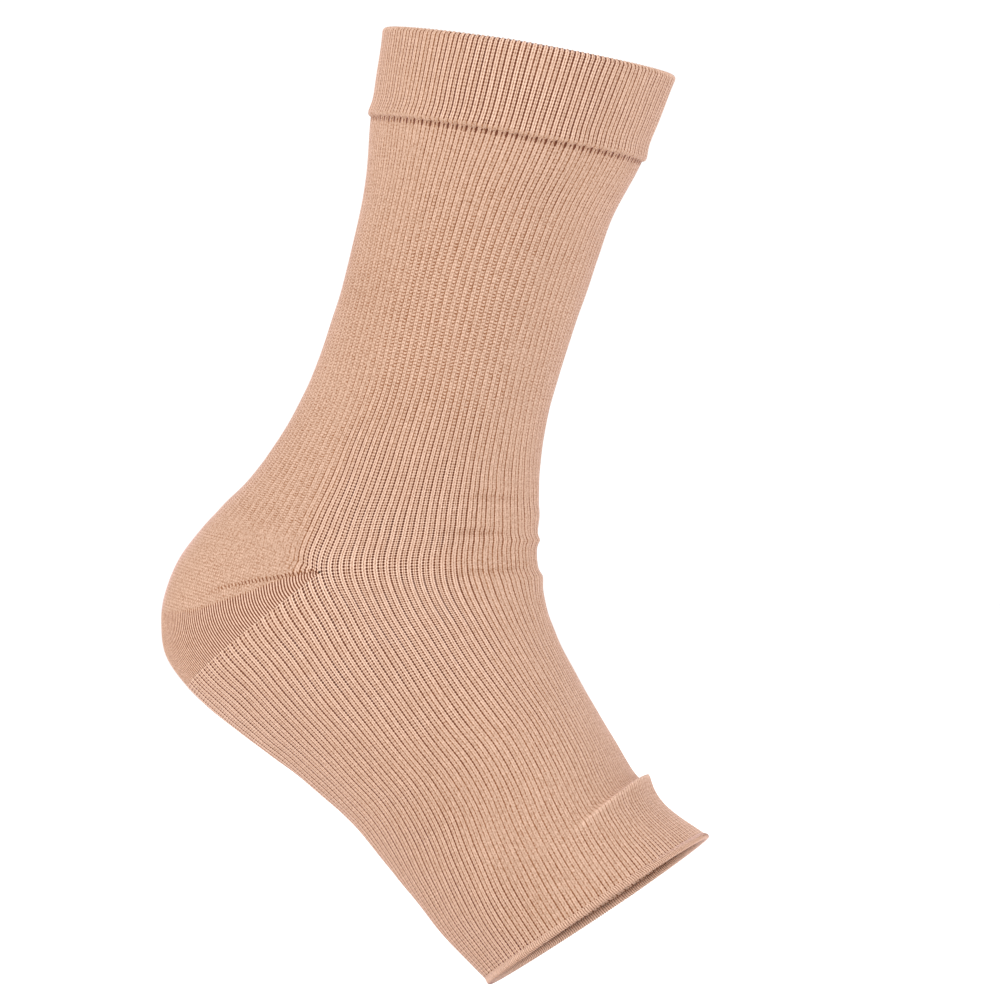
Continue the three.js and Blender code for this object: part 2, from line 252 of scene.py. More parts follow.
def smooth_line(points: Array, position: Array) -> Array:
    """Follows a smooth line through points (Catmull-Rom).

    Args:
        points: the line's points, one a row, of any dimension.
        position: places along it, counted in points.

    Returns:
        The points at those places, with the coordinates along the last axis.
    """
    padded = np.vstack([2 * points[0] - points[1], points, 2 * points[-1] - points[-2]])
    start = np.clip(np.floor(position).astype(int), 0, len(points) - 2)
    f = (position - start)[..., None]
    a, b, c, d = (padded[start + step] for step in range(4))
    squared = 2 * a - 5 * b + 4 * c - d
    cubed = 3 * b - a - 3 * c + d
    return 0.5 * (2 * b + (c - a) * f + squared * f**2 + cubed * f**3)


@dataclass
class SleeveForm:
    """The outer surface of the worn sleeve, from its sections and folds."""

    leg: tuple[Section, ...] = LEG_SECTIONS
    heel_backs: tuple[tuple[float, float], ...] = HEEL_BACKS
    foot: tuple[Section, ...] = FOOT_SECTIONS
    folds: tuple[Fold, ...] = FOLDS
    creases: tuple[Crease, ...] = CREASES
    nudge: float = 0.004
    arc_spans: int = 256
    side_spans: int = 20
    lines: dict[str, Array] = field(init=False)

    def __post_init__(self) -> None:
        """Gathers the sections' points into lines."""
        rows = [*self.leg, *self.foot[1:]]
        backs = [row.back for row in self.leg] + list(self.heel_backs) + [row.back for row in self.foot]
        self.lines = {
            "front": np.array([row.front for row in rows]),
            "side": np.array([row.side for row in rows]),
            "back": np.array(backs),
            "half_width": np.array([[row.half_width] for row in rows]),
            "bow": np.array([[row.bow] for row in rows]),
            "side_wales": np.array(SIDE_WALES)[:, None],
            "crowding": np.array(SIDE_CROWDING)[:, None],
            "twist": np.array(TWIST)[:, None],
        }

    @property
    def gore(self) -> int:
        """The section number of the course through the gore corners."""
        return len(self.leg) - 1

    @property
    def toe(self) -> int:
        """The section number of the toe edge."""
        return self.gore + len(self.foot) - 1

    @property
    def heel_steps(self) -> int:
        """The steps of the back line that the heel pocket spans."""
        return len(self.heel_backs) + 1

    def section(self, zone: Zone, at: Array) -> Array:
        """The section numbers of places in a stretch: all of the heel lies at the gore corners' section."""
        return np.full_like(at, self.gore) if zone is Zone.HEEL else at

    def course(self, zone: Zone, at: Array) -> Course:
        """Finds courses of the cloth.

        Args:
            zone: the knitted stretch.
            at: section numbers, or for the heel the share of the way from the leg to the foot.

        Returns:
            Those courses' points and sizes.
        """
        section = self.section(zone, at)
        back = {Zone.LEG: at, Zone.HEEL: self.gore + at * self.heel_steps, Zone.FOOT: at + self.heel_steps}
        bow_share = {Zone.LEG: 1.0, Zone.HEEL: (1 - at) ** 2, Zone.FOOT: 0.0}
        return Course(
            front=smooth_line(self.lines["front"], section),
            side=smooth_line(self.lines["side"], section),
            back=smooth_line(self.lines["back"], back[zone]),
            half_width=smooth_line(self.lines["half_width"], section)[..., 0],
            bow=smooth_line(self.lines["bow"], section)[..., 0] * bow_share[zone],
        )

    def on_course(self, course: Course, angle: Array) -> Array:
        """Finds points round a course.

        Args:
            course: the courses, one for each angle or one a row of them.
            angle: the turn in radians, 0 at the front, a quarter turn on the -Y side.

        Returns:
            The points, with x, y and z along the last axis.
        """
        along = np.abs(np.cos(angle))
        ahead = np.cos(angle) > 0
        end = np.where(ahead[..., None], course.front, course.back)
        run = end - course.side
        length = np.linalg.norm(run, axis=-1)
        lift = np.where(ahead, 0.0, 4 * course.bow * along * (1 - along))
        x = course.side[..., 0] + run[..., 0] * along + lift * run[..., 1] / length
        z = course.side[..., 1] + run[..., 1] * along - lift * run[..., 0] / length
        return np.stack([x, -course.half_width * np.sin(angle), z], axis=-1)

    def step(self, line: Array, at: float) -> float:
        """The length of one section step along a line, near a section number."""
        ends = smooth_line(line, np.array([at - self.nudge, at + self.nudge]))
        return float(np.linalg.norm(ends[1] - ends[0]) / (2 * self.nudge))

    def front_step(self, at: float) -> float:
        """The length of one section step along the front, near a section number."""
        return self.step(self.lines["front"], at)

    def side_step(self, at: float) -> float:
        """The length of one section step along the side, near a section number."""
        return self.step(self.lines["side"], at)

    def courses_above(self, at: Array) -> Array:
        """Counts the knitted courses from the welt's top fold down along the side.

        Args:
            at: section numbers.

        Returns:
            The number of courses above each.
        """
        fine = np.linspace(0.0, self.toe, self.side_spans * self.toe + 1)
        side = smooth_line(self.lines["side"], fine)
        run = np.concatenate([[0.0], np.cumsum(np.linalg.norm(np.diff(side, axis=0), axis=-1))])
        return np.interp(at, fine, run) / COURSE_PITCH

    def below_crest(self, fold: Fold, at: Array, angle: Array) -> Array:
        """Measures how far the cloth lies from a fold's crest.

        Args:
            fold: the fold.
            at: section numbers.
            angle: turns round the courses, in radians.

        Returns:
            The distances towards the toes, in millimetres.
        """
        crest = fold.at + fold.drift * (1 - np.cos(angle))
        return (at - crest) * self.front_step(fold.at)

    def lift(self, zone: Zone, at: Array, angle: Array) -> tuple[Array, Array]:
        """Works out how the folds and creases move the cloth.

        Args:
            zone: the knitted stretch.
            at: section numbers.
            angle: turns round the courses, in radians.

        Returns:
            The rise out of the surface, and the shift of it towards the welt.
        """
        rise = np.zeros(np.broadcast(at, angle).shape)
        lean = np.zeros_like(rise)
        if zone is Zone.HEEL:
            return rise, lean
        signed = signed_turn(angle)
        for fold in self.folds:
            reach = np.radians(np.where(signed < 0, fold.far, fold.near))
            fade = soft_step(1 - np.abs(signed) / reach)
            distance = self.below_crest(fold, at, signed)
            slope = np.where(distance < 0, fold.above, fold.below)
            bump = fade * np.exp(-(np.abs(distance / slope) ** fold.sharpness))
            rise = rise + fold.rise * bump
            lean = lean + fold.lean * bump
        for crease in self.creases:
            offset = (signed - math.radians(crease.turn) + math.pi) % TAU - math.pi
            fade = soft_step(1 - np.abs(offset) / math.radians(crease.reach))
            distance = (at - crease.at - crease.slant * offset) * self.side_step(crease.at)
            rise = rise + crease.rise * fade * np.exp(-((distance / crease.slope) ** 2))
        return rise, lean

    def crest(self, at: Array, angle: Array) -> Array:
        """Works out where the painted highlight lies on the crests of the high folds.

        Args:
            at: section numbers.
            angle: turns round the courses, in radians.

        Returns:
            1 on the crests and 0 away from them.
        """
        around = from_front(angle)
        total = np.zeros(around.shape)
        for fold in self.folds:
            if fold.rise > CREST_RISE:
                distance = self.below_crest(fold, at, angle)
                fade = soft_step((fold.far - around) / CREST_FADE)
                total = total + fade * np.exp(-((distance / CREST_WIDTH) ** 2))
        return total

    def slopes(self, surface: SurfaceFunction, zone: Zone, at: Array, angle: Array) -> tuple[Array, Array]:
        """Measures a surface's directions.

        Args:
            surface: the function that gives the surface's points.
            zone: the knitted stretch.
            at: section numbers, or shares of the heel.
            angle: turns round the courses, in radians.

        Returns:
            The outward normals, and the directions down the wales.
        """
        step = self.nudge / self.heel_steps if zone is Zone.HEEL else self.nudge
        down = surface(zone, at + step, angle) - surface(zone, at - step, angle)
        around = surface(zone, at, angle + self.nudge) - surface(zone, at, angle - self.nudge)
        normal = np.cross(around, down)
        normal /= np.linalg.norm(normal, axis=-1, keepdims=True)
        return normal, down / np.linalg.norm(down, axis=-1, keepdims=True)

    def bare(self, zone: Zone, at: Array, angle: Array) -> Array:
        """The smooth surface before its folds."""
        return self.on_course(self.course(zone, at), angle)

    def folded(self, zone: Zone, at: Array, angle: Array) -> Array:
        """Finds the folded surface before its ribs.

        Args:
            zone: the knitted stretch.
            at: section numbers, or shares of the heel.
            angle: turns round the courses, in radians.

        Returns:
            The surface's points.
        """
        normal, down = self.slopes(self.bare, zone, at, angle)
        rise, lean = self.lift(zone, at, angle)
        return self.bare(zone, at, angle) + normal * rise[..., None] - down * lean[..., None]

    def skin(self, zone: Zone, at: Array, angle: Array, depth: Array) -> Array:
        """The points at a depth below the folded surface."""
        normal, _ = self.slopes(self.folded, zone, at, angle)
        return self.folded(zone, at, angle) - normal * np.asarray(depth)[..., None]

    def angles(self, zone: Zone, at: Array, wale: Array) -> Array:
        """Finds the turns of wales.

        Args:
            zone: the knitted stretch.
            at: one section number, or share of the heel, for each row.
            wale: the wale numbers, counted from the front, as rows by columns.

        Returns:
            The turn of each wale in radians, as rows by columns.
        """
        section = self.section(zone, at)
        twist = smooth_line(self.lines["twist"], section)
        side = smooth_line(self.lines["side_wales"], section)[:, 0]
        turns = np.linspace(0.0, TAU, self.arc_spans + 1)
        points = self.bare(zone, np.repeat(at[:, None], len(turns), axis=1), turns[None, :])
        spans = np.linalg.norm(np.diff(points, axis=1), axis=-1).reshape(len(at), 4, -1)
        shares = np.cumsum(spans, axis=2) / spans.sum(axis=2, keepdims=True)
        crowding = smooth_line(self.lines["crowding"], section)[:, None] / math.pi
        shares = shares + crowding * SIDE_AT_END[:, None] * np.sin(math.pi * shares)
        ends = np.stack([0 * side, side, 0 * side + WALES / 2, WALES - side, 0 * side + WALES], axis=1)
        numbers = ends[:, :-1, None] + np.diff(ends)[..., None] * shares
        numbers = np.concatenate([np.zeros((len(at), 1)), numbers.reshape(len(at), -1)], axis=1)
        untwisted = (wale - twist) % WALES
        return np.array([np.interp(row, known, turns) for row, known in zip(untwisted, numbers)])


# --- Unevenness and relief of the knit --------------------------------------------------------------


@dataclass
class Unevenness:
    """A soft, repeatable unevenness over the cloth, made of a few long waves.

    amount is its usual size, turns the most waves round the sleeve, and rows the most from course to course.
    """

    seed: int
    amount: float
    waves: int = 7
    turns: int = 9
    rows: float = 0.06

    def over(self, wale: Array, course: Array) -> Array:
        """Reads the unevenness.

        Args:
            wale: wale numbers.
            course: course numbers.

        Returns:
            Values mostly between -amount and amount.
        """
        rng = np.random.default_rng(self.seed)
        total = np.zeros(np.broadcast(wale, course).shape)
        for _ in range(self.waves):
            around = int(rng.integers(1, self.turns + 1))
            along = rng.uniform(-self.rows, self.rows)
            phase = rng.uniform(0.0, 1.0)
            total = total + np.sin(TAU * (around * wale / WALES + along * course + phase))
        return self.amount * (total / math.sqrt(self.waves))


# How the wales wander to the sides, in radians, how the ribs' relief and the knit's pull vary, as shares of
# themselves, and how the cloth puckers, in millimetres.
WANDER = Unevenness(seed=11, amount=TAU / WALES * 0.10, turns=12, rows=0.03)
RELIEF_UNEVEN = Unevenness(seed=23, amount=0.22, turns=20, rows=0.05)
PUCKER = Unevenness(seed=37, amount=0.07, turns=14, rows=0.07)
PULL_UNEVEN = Unevenness(seed=53, amount=0.16, waves=9, turns=30, rows=0.08)

# The share of the relief that is left where the knit is closed, the depth in millimetres at which the
# painted shade of a crease is at its darkest, and how strong the painted highlight on a crest is beside
# that.
CLOSED_RELIEF = 0.3
CREASE_SHADE_DEPTH = 0.35
CREST_HIGHLIGHT = 1.6

# Rib relief across one repeat, from the upper groove over the two raised strands of the face wale, the
# lower groove and the recessed wale: the share of the repeat, and the depth below the strands' tops.
RIB_PROFILE = (
    (0.00, 0.30),
    (0.045, 0.19),
    (0.09, 0.05),
    (0.14, 0.00),
    (0.27, 0.07),
    (0.40, 0.00),
    (0.45, 0.04),
    (0.50, 0.16),
    (0.54, 0.24),
    (0.60, 0.16),
    (0.67, 0.10),
    (0.77, 0.14),
    (0.86, 0.10),
    (0.94, 0.18),
    (1.00, 0.30),
)
REPEAT_STOPS = (0.0, 0.05, 0.14, 0.21, 0.27, 0.33, 0.41, 0.49, 0.54, 0.59, 0.67, 0.77, 0.87, 0.95)

# Where the parts of the repeat lie and how far they reach, as shares of it. The repeat starts a quarter of
# itself past the front wale.
REPEAT_START = 0.25
UPPER_GROOVE = 0.0
LOWER_GROOVE = 0.54
GROOVE_REACH = 0.135
STRANDS = (0.15, 0.40)
STRAND_REACH = 0.11
BEADS = (0.67, 0.88)
BEAD_REACH = 0.10
FACE = 0.27
FACE_REACH = 0.25
PURL = 0.77
PURL_REACH = 0.23
HOLE_REACH = 0.08
FACE_HOLE_REACH = 0.075

# Which groove beside the face wales is the deeper, by section number: 0 the upper one, 1 the lower one.
DEEP_GROOVE = (
    (0.0, 0.3),
    (1.0, 0.2),
    (2.0, 0.0),
    (8.4, 0.0),
    (GORE_SECTION, 0.5),
    (9.7, 1.0),
    (14.0, 1.0),
    (15.5, 0.85),
    (18.0, 0.85),
)


def rib_place(wale: Array) -> Array:
    """The share of the rib repeat that a wale number lies at, as RIB_PROFILE counts it."""
    return (REPEAT_START - np.asarray(wale) / 2) % 1.0


def rib_depth(wale: Array, balance: Array) -> Array:
    """Works out how deep the knit lies below its strands' tops.

    Args:
        wale: wale numbers.
        balance: which groove is the deeper, from 0 to 1.

    Returns:
        The depths, in millimetres.
    """
    place = rib_place(wale)
    upper = read_table(place, RIB_PROFILE)
    lower = read_table((LOWER_GROOVE - place) % 1.0, RIB_PROFILE)
    return upper + (lower - upper) * balance


def rib_relief(wale: Array, course: Array, balance: Array, opened: Array) -> Array:
    """Works out how deep the uneven knit lies where it is more or less pulled open.

    Args:
        wale: wale numbers.
        course: course numbers.
        balance: which groove is the deeper, from 0 to 1.
        opened: how far the knit is pulled open.

    Returns:
        The depths, in millimetres.
    """
    uneven = 1 + RELIEF_UNEVEN.over(wale, course)
    return rib_depth(wale, balance) * uneven * (CLOSED_RELIEF + (1 - CLOSED_RELIEF) * opened)


def ribbed_columns() -> Array:
    """The wale numbers of a ribbed grid's columns, which follow each repeat's grooves and strands."""
    offsets = np.sort(2 * ((REPEAT_START - np.array(REPEAT_STOPS)) % 1.0))
    return (2 * np.arange(RIBS)[:, None] + offsets[None, :]).ravel()


def spaced(first: float, last: float, count: int, crowded: Sequence[tuple[float, float, float]]) -> Array:
    """Spreads section numbers, closer together at some places.

    Args:
        first: the first section number.
        last: the last one.
        count: how many there are.
        crowded: the middle, the width and the extra density of each crowded place.

    Returns:
        The section numbers, in order.
    """
    fine = np.linspace(first, last, SPACING_STEPS + 1)
    density = np.ones_like(fine)
    for middle, width, extra in crowded:
        density = density + extra * np.exp(-(((fine - middle) / width) ** 2))
    run = np.concatenate([[0.0], np.cumsum((density[1:] + density[:-1]) / 2)])
    return np.interp(np.linspace(0.0, run[-1], count), run, fine)


@dataclass(frozen=True)
class Pull:
    """How far the knit is pulled open at the sides, the back and the front of a section.

    At 0 the knit shows neither grooves nor holes, and at 1 it shows them at their darkest. crescents is how
    far the recessed wales show the crescents of their loops.
    """

    at: float
    side: float
    back: float
    front: float
    crescents: float = 0.0


PULLS = (
    Pull(0.0, 0.90, 0.40, 0.46),
    Pull(0.97, 0.88, 0.40, 0.46),
    Pull(1.0, 0.40, 0.22, 0.22),
    Pull(1.8, 0.34, 0.24, 0.28, 0.25),
    Pull(3.0, 0.16, 0.16, 0.17, 0.80),
    Pull(4.3, 0.14, 0.14, 0.17, 0.80),
    Pull(5.3, 0.38, 0.13, 0.21, 0.45),
    Pull(6.4, 0.68, 0.14, 0.26, 0.15),
    Pull(7.5, 0.92, 0.10, 0.28),
    Pull(GORE_SECTION, 1.02, 0.05, 0.28),
    Pull(FOOT_START, 1.02, 0.82, 0.28),
    Pull(11.0, 0.98, 0.76, 0.30),
    Pull(12.2, 0.72, 0.58, 0.34),
    Pull(13.5, 0.42, 0.48, 0.36),
    Pull(15.5, 0.23, 0.48, 0.32),
    Pull(16.5, 0.19, 0.50, 0.29),
    Pull(16.7, 0.27, 0.50, 0.34),
    Pull(17.3, 0.22, 0.58, 0.42),
    Pull(18.0, 0.38, 0.72, 0.60),
)

# Where the sides' pull starts to give way to the front's and where it has given way, in degrees.
FRONT_FADE = (62.0, 34.0)

# Where the sides' pull gives way to the back's: section numbers, and the degrees of its start and its end.
BACK_FADES = (
    (0.0, 100.0, 124.0),
    (5.0, 100.0, 122.0),
    (7.5, 97.0, 113.0),
    (GORE_SECTION, 90.0, 101.0),
    (FOOT_START, 100.0, 124.0),
)

# How far the loops of the closed knit show down the back of the leg towards the heel, by section number.
HEEL_LOOPS = ((4.5, 0.0), (6.5, 0.5), (8.2, 0.5), (8.9, 0.0))

# How much of the crescents is lost at the back and at the front.
BACK_LOSS = 0.45
FRONT_LOSS = 0.55

# The pull round a gore corner: how much it opens the knit, and how far it reaches in sections and degrees.
CORNER_PULL = 0.5
CORNER_SECTIONS = 0.55
CORNER_DEGREES = 9.0
SIDE_DEGREES = 90.0


def openness(at: Array, angle: Array) -> tuple[Array, Array]:
    """Works out how far the knit is pulled open.

    Args:
        at: section numbers.
        angle: turns round the courses, in radians.

    Returns:
        The pull, and how far the crescents of the recessed wales show.
    """
    section, side, back, front, crescents = np.array([astuple(pull) for pull in PULLS]).T
    degrees = from_front(angle)
    fade_at, fade_start, fade_end = np.array(BACK_FADES).T
    begins = np.interp(at, fade_at, fade_start)
    to_back = soft_step((degrees - begins) / (np.interp(at, fade_at, fade_end) - begins))
    to_front = soft_step((degrees - FRONT_FADE[0]) / (FRONT_FADE[1] - FRONT_FADE[0]))
    sides = np.interp(at, section, side)
    backs = np.interp(at, section, back)
    fronts = np.interp(at, section, front)
    below_corner = (at - GORE_SECTION) / CORNER_SECTIONS
    round_corner = (degrees - SIDE_DEGREES) / CORNER_DEGREES
    pulled = sides + (backs - sides) * to_back + (fronts - sides) * to_front
    shown = np.interp(at, section, crescents) * (1 - BACK_LOSS * to_back - FRONT_LOSS * to_front)
    shown = shown + to_back * read_table(at, HEEL_LOOPS)
    return pulled + CORNER_PULL * np.exp(-(below_corner**2 + round_corner**2)), shown


# --- Shells of cloth --------------------------------------------------------------------------------


@dataclass
class Shell:
    """A closed wall of cloth, from rows of points that run down its outside and back along its inside.

    Each map holds two values for each point, and has one column more than points where the columns close
    round, so that its last column can carry the full count. The edges along the creased rows stay sharp.
    """

    points: Array
    maps: dict[str, Array]
    creased: tuple[int, ...] = ()
    closes_round: bool = True

    def faces(self) -> tuple[Array, Array]:
        """Joins the points into quads.

        Returns:
            The quads' point numbers, and the numbers of their corners in the maps.
        """
        rows, columns = self.points.shape[:2]
        wide = columns + 1 if self.closes_round else columns
        i, j = np.meshgrid(np.arange(rows), np.arange(wide - 1), indexing="ij")
        i, j = i.ravel(), j.ravel()
        below = (i + 1) % rows
        corners = ((i, j), (i, j + 1), (below, j + 1), (below, j))
        quads = np.stack([row * columns + column % columns for row, column in corners], axis=1)
        marks = np.stack([row * wide + column for row, column in corners], axis=1)
        if not self.closes_round:
            ends = [self.end(0, columns), self.end(columns - 1, columns)]
            quads = np.vstack([quads, *ends])
            marks = np.vstack([marks, *ends])
        return quads, marks

    def end(self, column: int, columns: int) -> Array:
        """Closes the wall at its first or last column.

        Args:
            column: the column's number.
            columns: how many columns there are.

        Returns:
            The quads' point numbers.
        """
        rows = self.points.shape[0]
        upper = np.arange(rows // 2 - 1)
        inner = rows - 1 - upper
        ring = np.stack([upper, upper + 1, inner - 1, inner], axis=1) * columns + column
        return ring if column == 0 else ring[:, ::-1]

    def build(self, name: str) -> bpy.types.Object:
        """Makes the shell's mesh object.

        Args:
            name: the object's name.

        Returns:
            The object, linked to the scene.
        """
        quads, marks = self.faces()
        mesh = bpy.data.meshes.new(name)
        mesh.from_pydata((self.points.reshape(-1, 3) * MM).tolist(), [], quads.tolist())
        for layer, values in self.maps.items():
            uv = mesh.uv_layers.new(name=layer)
            uv.data.foreach_set("uv", values.reshape(-1, 2)[marks].ravel())
        mesh.polygons.foreach_set("use_smooth", np.ones(len(quads), dtype=bool))
        self.sharpen(mesh)
        mesh.update()
        made = bpy.data.objects.new(name, mesh)
        bpy.context.collection.objects.link(made)
        return made

    def sharpen(self, mesh: bpy.types.Mesh) -> None:
        """Marks the edges along the creased rows as sharp.

        Args:
            mesh: the shell's mesh.
        """
        ends = np.empty(2 * len(mesh.edges), dtype=np.int32)
        mesh.edges.foreach_get("vertices", ends)
        rows = ends.reshape(-1, 2) // self.points.shape[1]
        sharp = (rows[:, 0] == rows[:, 1]) & np.isin(rows[:, 0], self.creased)
        mesh.edges.foreach_set("use_edge_sharp", sharp)


def stacked(pairs: dict[str, tuple[Array, Array]]) -> dict[str, Array]:
    """Joins each map's two values."""
    return {name: np.stack(pair, axis=-1) for name, pair in pairs.items()}


def with_last(values: Array) -> Array:
    """Repeats a grid's first column after its last."""
    return np.concatenate([values, values[:, :1]], axis=1)


# --- Shader expressions -----------------------------------------------------------------------------


class Signal:
    """A shader value in an expression: each operator adds the Math node that works it out."""

    def __init__(self, net: "Net", socket: bpy.types.NodeSocket) -> None:
        """Wraps a socket of a net."""
        self.net = net
        self.socket = socket

    def math(
        self, operation: str, *others: "Signal | float", first: "Signal | float | None" = None
    ) -> "Signal":
        """Adds a Math node.

        Args:
            operation: the node's operation.
            others: its inputs after this value.
            first: what stands before this value, for a reflected operator.

        Returns:
            The node's result.
        """
        values = (self, *others) if first is None else (first, self)
        return self.net.node("ShaderNodeMath", {"operation": operation}, dict(enumerate(values)))

    def __add__(self, other: "Signal | float") -> "Signal":
        """self + other."""
        return self.math("ADD", other)

    def __radd__(self, other: float) -> "Signal":
        """other + self."""
        return self.math("ADD", first=other)

    def __sub__(self, other: "Signal | float") -> "Signal":
        """self - other."""
        return self.math("SUBTRACT", other)

    def __rsub__(self, other: float) -> "Signal":
        """other - self."""
        return self.math("SUBTRACT", first=other)

    def __mul__(self, other: "Signal | float") -> "Signal":
        """self * other."""
        return self.math("MULTIPLY", other)

    def __rmul__(self, other: float) -> "Signal":
        """other * self."""
        return self.math("MULTIPLY", first=other)

    def __truediv__(self, other: "Signal | float") -> "Signal":
        """self / other."""
        return self.math("DIVIDE", other)

    def fract(self) -> "Signal":
        """The part after the decimal point."""
        return self.math("FRACT")

    def absolute(self) -> "Signal":
        """The value without its sign."""
        return self.math("ABSOLUTE")

    def cosine(self) -> "Signal":
        """The cosine of this angle in radians."""
        return self.math("COSINE")

    def clamp(self) -> "Signal":
        """The value kept between 0 and 1."""
        return self.math("MAXIMUM", 0.0).math("MINIMUM", 1.0)

    def beat(self, shift: float = 0.0) -> "Signal":
        """A wave from 0 to 1 that peaks at whole numbers, or shift after them."""
        return 0.5 + 0.5 * ((self - shift) * TAU).cosine()

    def rib_place(self) -> "Signal":
        """The share of the rib repeat that this wale number lies at, as RIB_PROFILE counts it."""
        return (REPEAT_START - self * 0.5).fract()

    def eased(self) -> "Signal":
        """This share from 0 to 1 as a soft step."""
        return self * self * (3.0 - 2.0 * self)

    def line(self, place: float, width: float) -> "Signal":
        """A soft line across a repeating share.

        Args:
            place: where the line lies in the repeat, from 0 to 1.
            width: how far from its middle it fades out.

        Returns:
            1 on the line and 0 away from it.
        """
        distance = ((self - (place - 0.5)).fract() - 0.5).absolute()
        return (1.0 - distance / width).clamp().eased()

    def lines(self, places: Sequence[float], width: float) -> "Signal":
        """The soft lines at two places of a repeating share."""
        first, second = places
        return self.line(first, width) + self.line(second, width)

    def rise(self, start: float, stop: float) -> "Signal":
        """A soft step from 0 at start to 1 at stop."""
        return ((self - start) / (stop - start)).clamp().eased()


class Net:
    """The node tree of one material."""

    def __init__(self, name: str) -> None:
        """Starts an empty material.

        Args:
            name: the material's name.
        """
        self.material = bpy.data.materials.new(name)
        self.material.use_nodes = True
        self.tree = self.material.node_tree
        self.tree.nodes.clear()

    def add(
        self,
        kind: str,
        settings: dict[str, object] | None = None,
        inputs: dict[int | str, object] | None = None,
    ) -> bpy.types.Node:
        """Adds a node.

        Args:
            kind: the node's type.
            settings: its attributes, set first; stops gives a ramp its (place, colour) pairs.
            inputs: a value or a link for each of its sockets.

        Returns:
            The node.
        """
        made = self.tree.nodes.new(kind)
        for key, value in (settings or {}).items():
            if key == "stops":
                self.set_stops(made.color_ramp, value)
            else:
                setattr(made, key, value)
        for key, value in (inputs or {}).items():
            if isinstance(value, Signal):
                self.tree.links.new(value.socket, made.inputs[key])
            else:
                made.inputs[key].default_value = value
        return made

    def node(self, kind: str, settings: dict[str, object], inputs: dict[int | str, object]) -> Signal:
        """The first output of a new node, which takes what add() takes."""
        return Signal(self, self.add(kind, settings, inputs).outputs[0])

    @staticmethod
    def set_stops(ramp: bpy.types.ColorRamp, stops: Sequence[tuple[float, Colour]]) -> None:
        """Gives a ramp its stops.

        Args:
            ramp: the ramp, which has two to start with.
            stops: the place and colour of each.
        """
        while len(ramp.elements) < len(stops):
            ramp.elements.new(1.0)
        for element, (place, colour) in zip(ramp.elements, stops):
            element.position = place
            element.color = (*colour, 1.0)

    def map_values(self, layer: str) -> tuple[Signal, Signal]:
        """Reads a mesh's map.

        Args:
            layer: the map's name.

        Returns:
            The two values that it holds.
        """
        vector = self.node("ShaderNodeUVMap", {"uv_map": layer}, {})
        parts = self.add("ShaderNodeSeparateXYZ", inputs={0: vector})
        return Signal(self, parts.outputs[0]), Signal(self, parts.outputs[1])

    def noise(self, scale: float, detail: float = 2.0) -> Signal:
        """Makes fine noise in the cloth.

        Args:
            scale: how many features it has a metre.
            detail: how many finer layers of it are added.

        Returns:
            The noise, from 0 to 1.
        """
        place = Signal(self, self.add("ShaderNodeTexCoord").outputs["Object"])
        return self.node("ShaderNodeTexNoise", {}, {"Vector": place, "Scale": scale, "Detail": detail})

    def ramp(self, share: Signal, stops: Sequence[tuple[float, Colour]]) -> Signal:
        """The colours of a ramp at shares from 0 to 1."""
        return self.node("ShaderNodeValToRGB", {"stops": stops}, {0: share})

    def finish(self, shading: dict[int | str, object]) -> bpy.types.Material:
        """Joins the surface's shader to the material's output.

        Args:
            shading: the values or links of the shader's sockets.

        Returns:
            The material.
        """
        surface = self.node("ShaderNodeBsdfPrincipled", {}, shading)
        self.add("ShaderNodeOutputMaterial", inputs={"Surface": surface})
        return self.material


def linear(red: int, green: int, blue: int) -> Colour:
    """The scene colour of an 8-bit screen colour."""
    shares = (value / 255 for value in (red, green, blue))
    return tuple(s / 12.92 if s <= 0.04045 else ((s + 0.055) / 1.055) ** 2.4 for s in shares)


# --- Finishes ---------------------------------------------------------------------------------------


@dataclass(frozen=True)
class Yarn:
    """The beige elastic yarn: its colours from the deepest holes to the brightest strands, and its gloss."""

    # The darker stops show the painted shade of holes, grooves and creases; the brighter stops also show the
    # painted gleam of the loops and the painted highlight on fold crests.
    hole: Colour = linear(102, 42, 0)
    shade: Colour = linear(140, 86, 44)
    body: Colour = linear(188, 151, 127)
    light: Colour = linear(219, 180, 156)
    shine: Colour = linear(242, 205, 181)
    roughness: float = 0.7
    sheen: float = 0.5
    sheen_roughness: float = 0.25
    sheen_tint: Colour = linear(255, 214, 224)

    def stops(self) -> tuple[tuple[float, Colour], ...]:
        """The ramp from holes at 0 over the yarn's body at a half to shine at 1."""
        places = (0.0, 0.25, 0.5, 0.75, 1.0)
        return tuple(zip(places, (self.hole, self.shade, self.body, self.light, self.shine)))


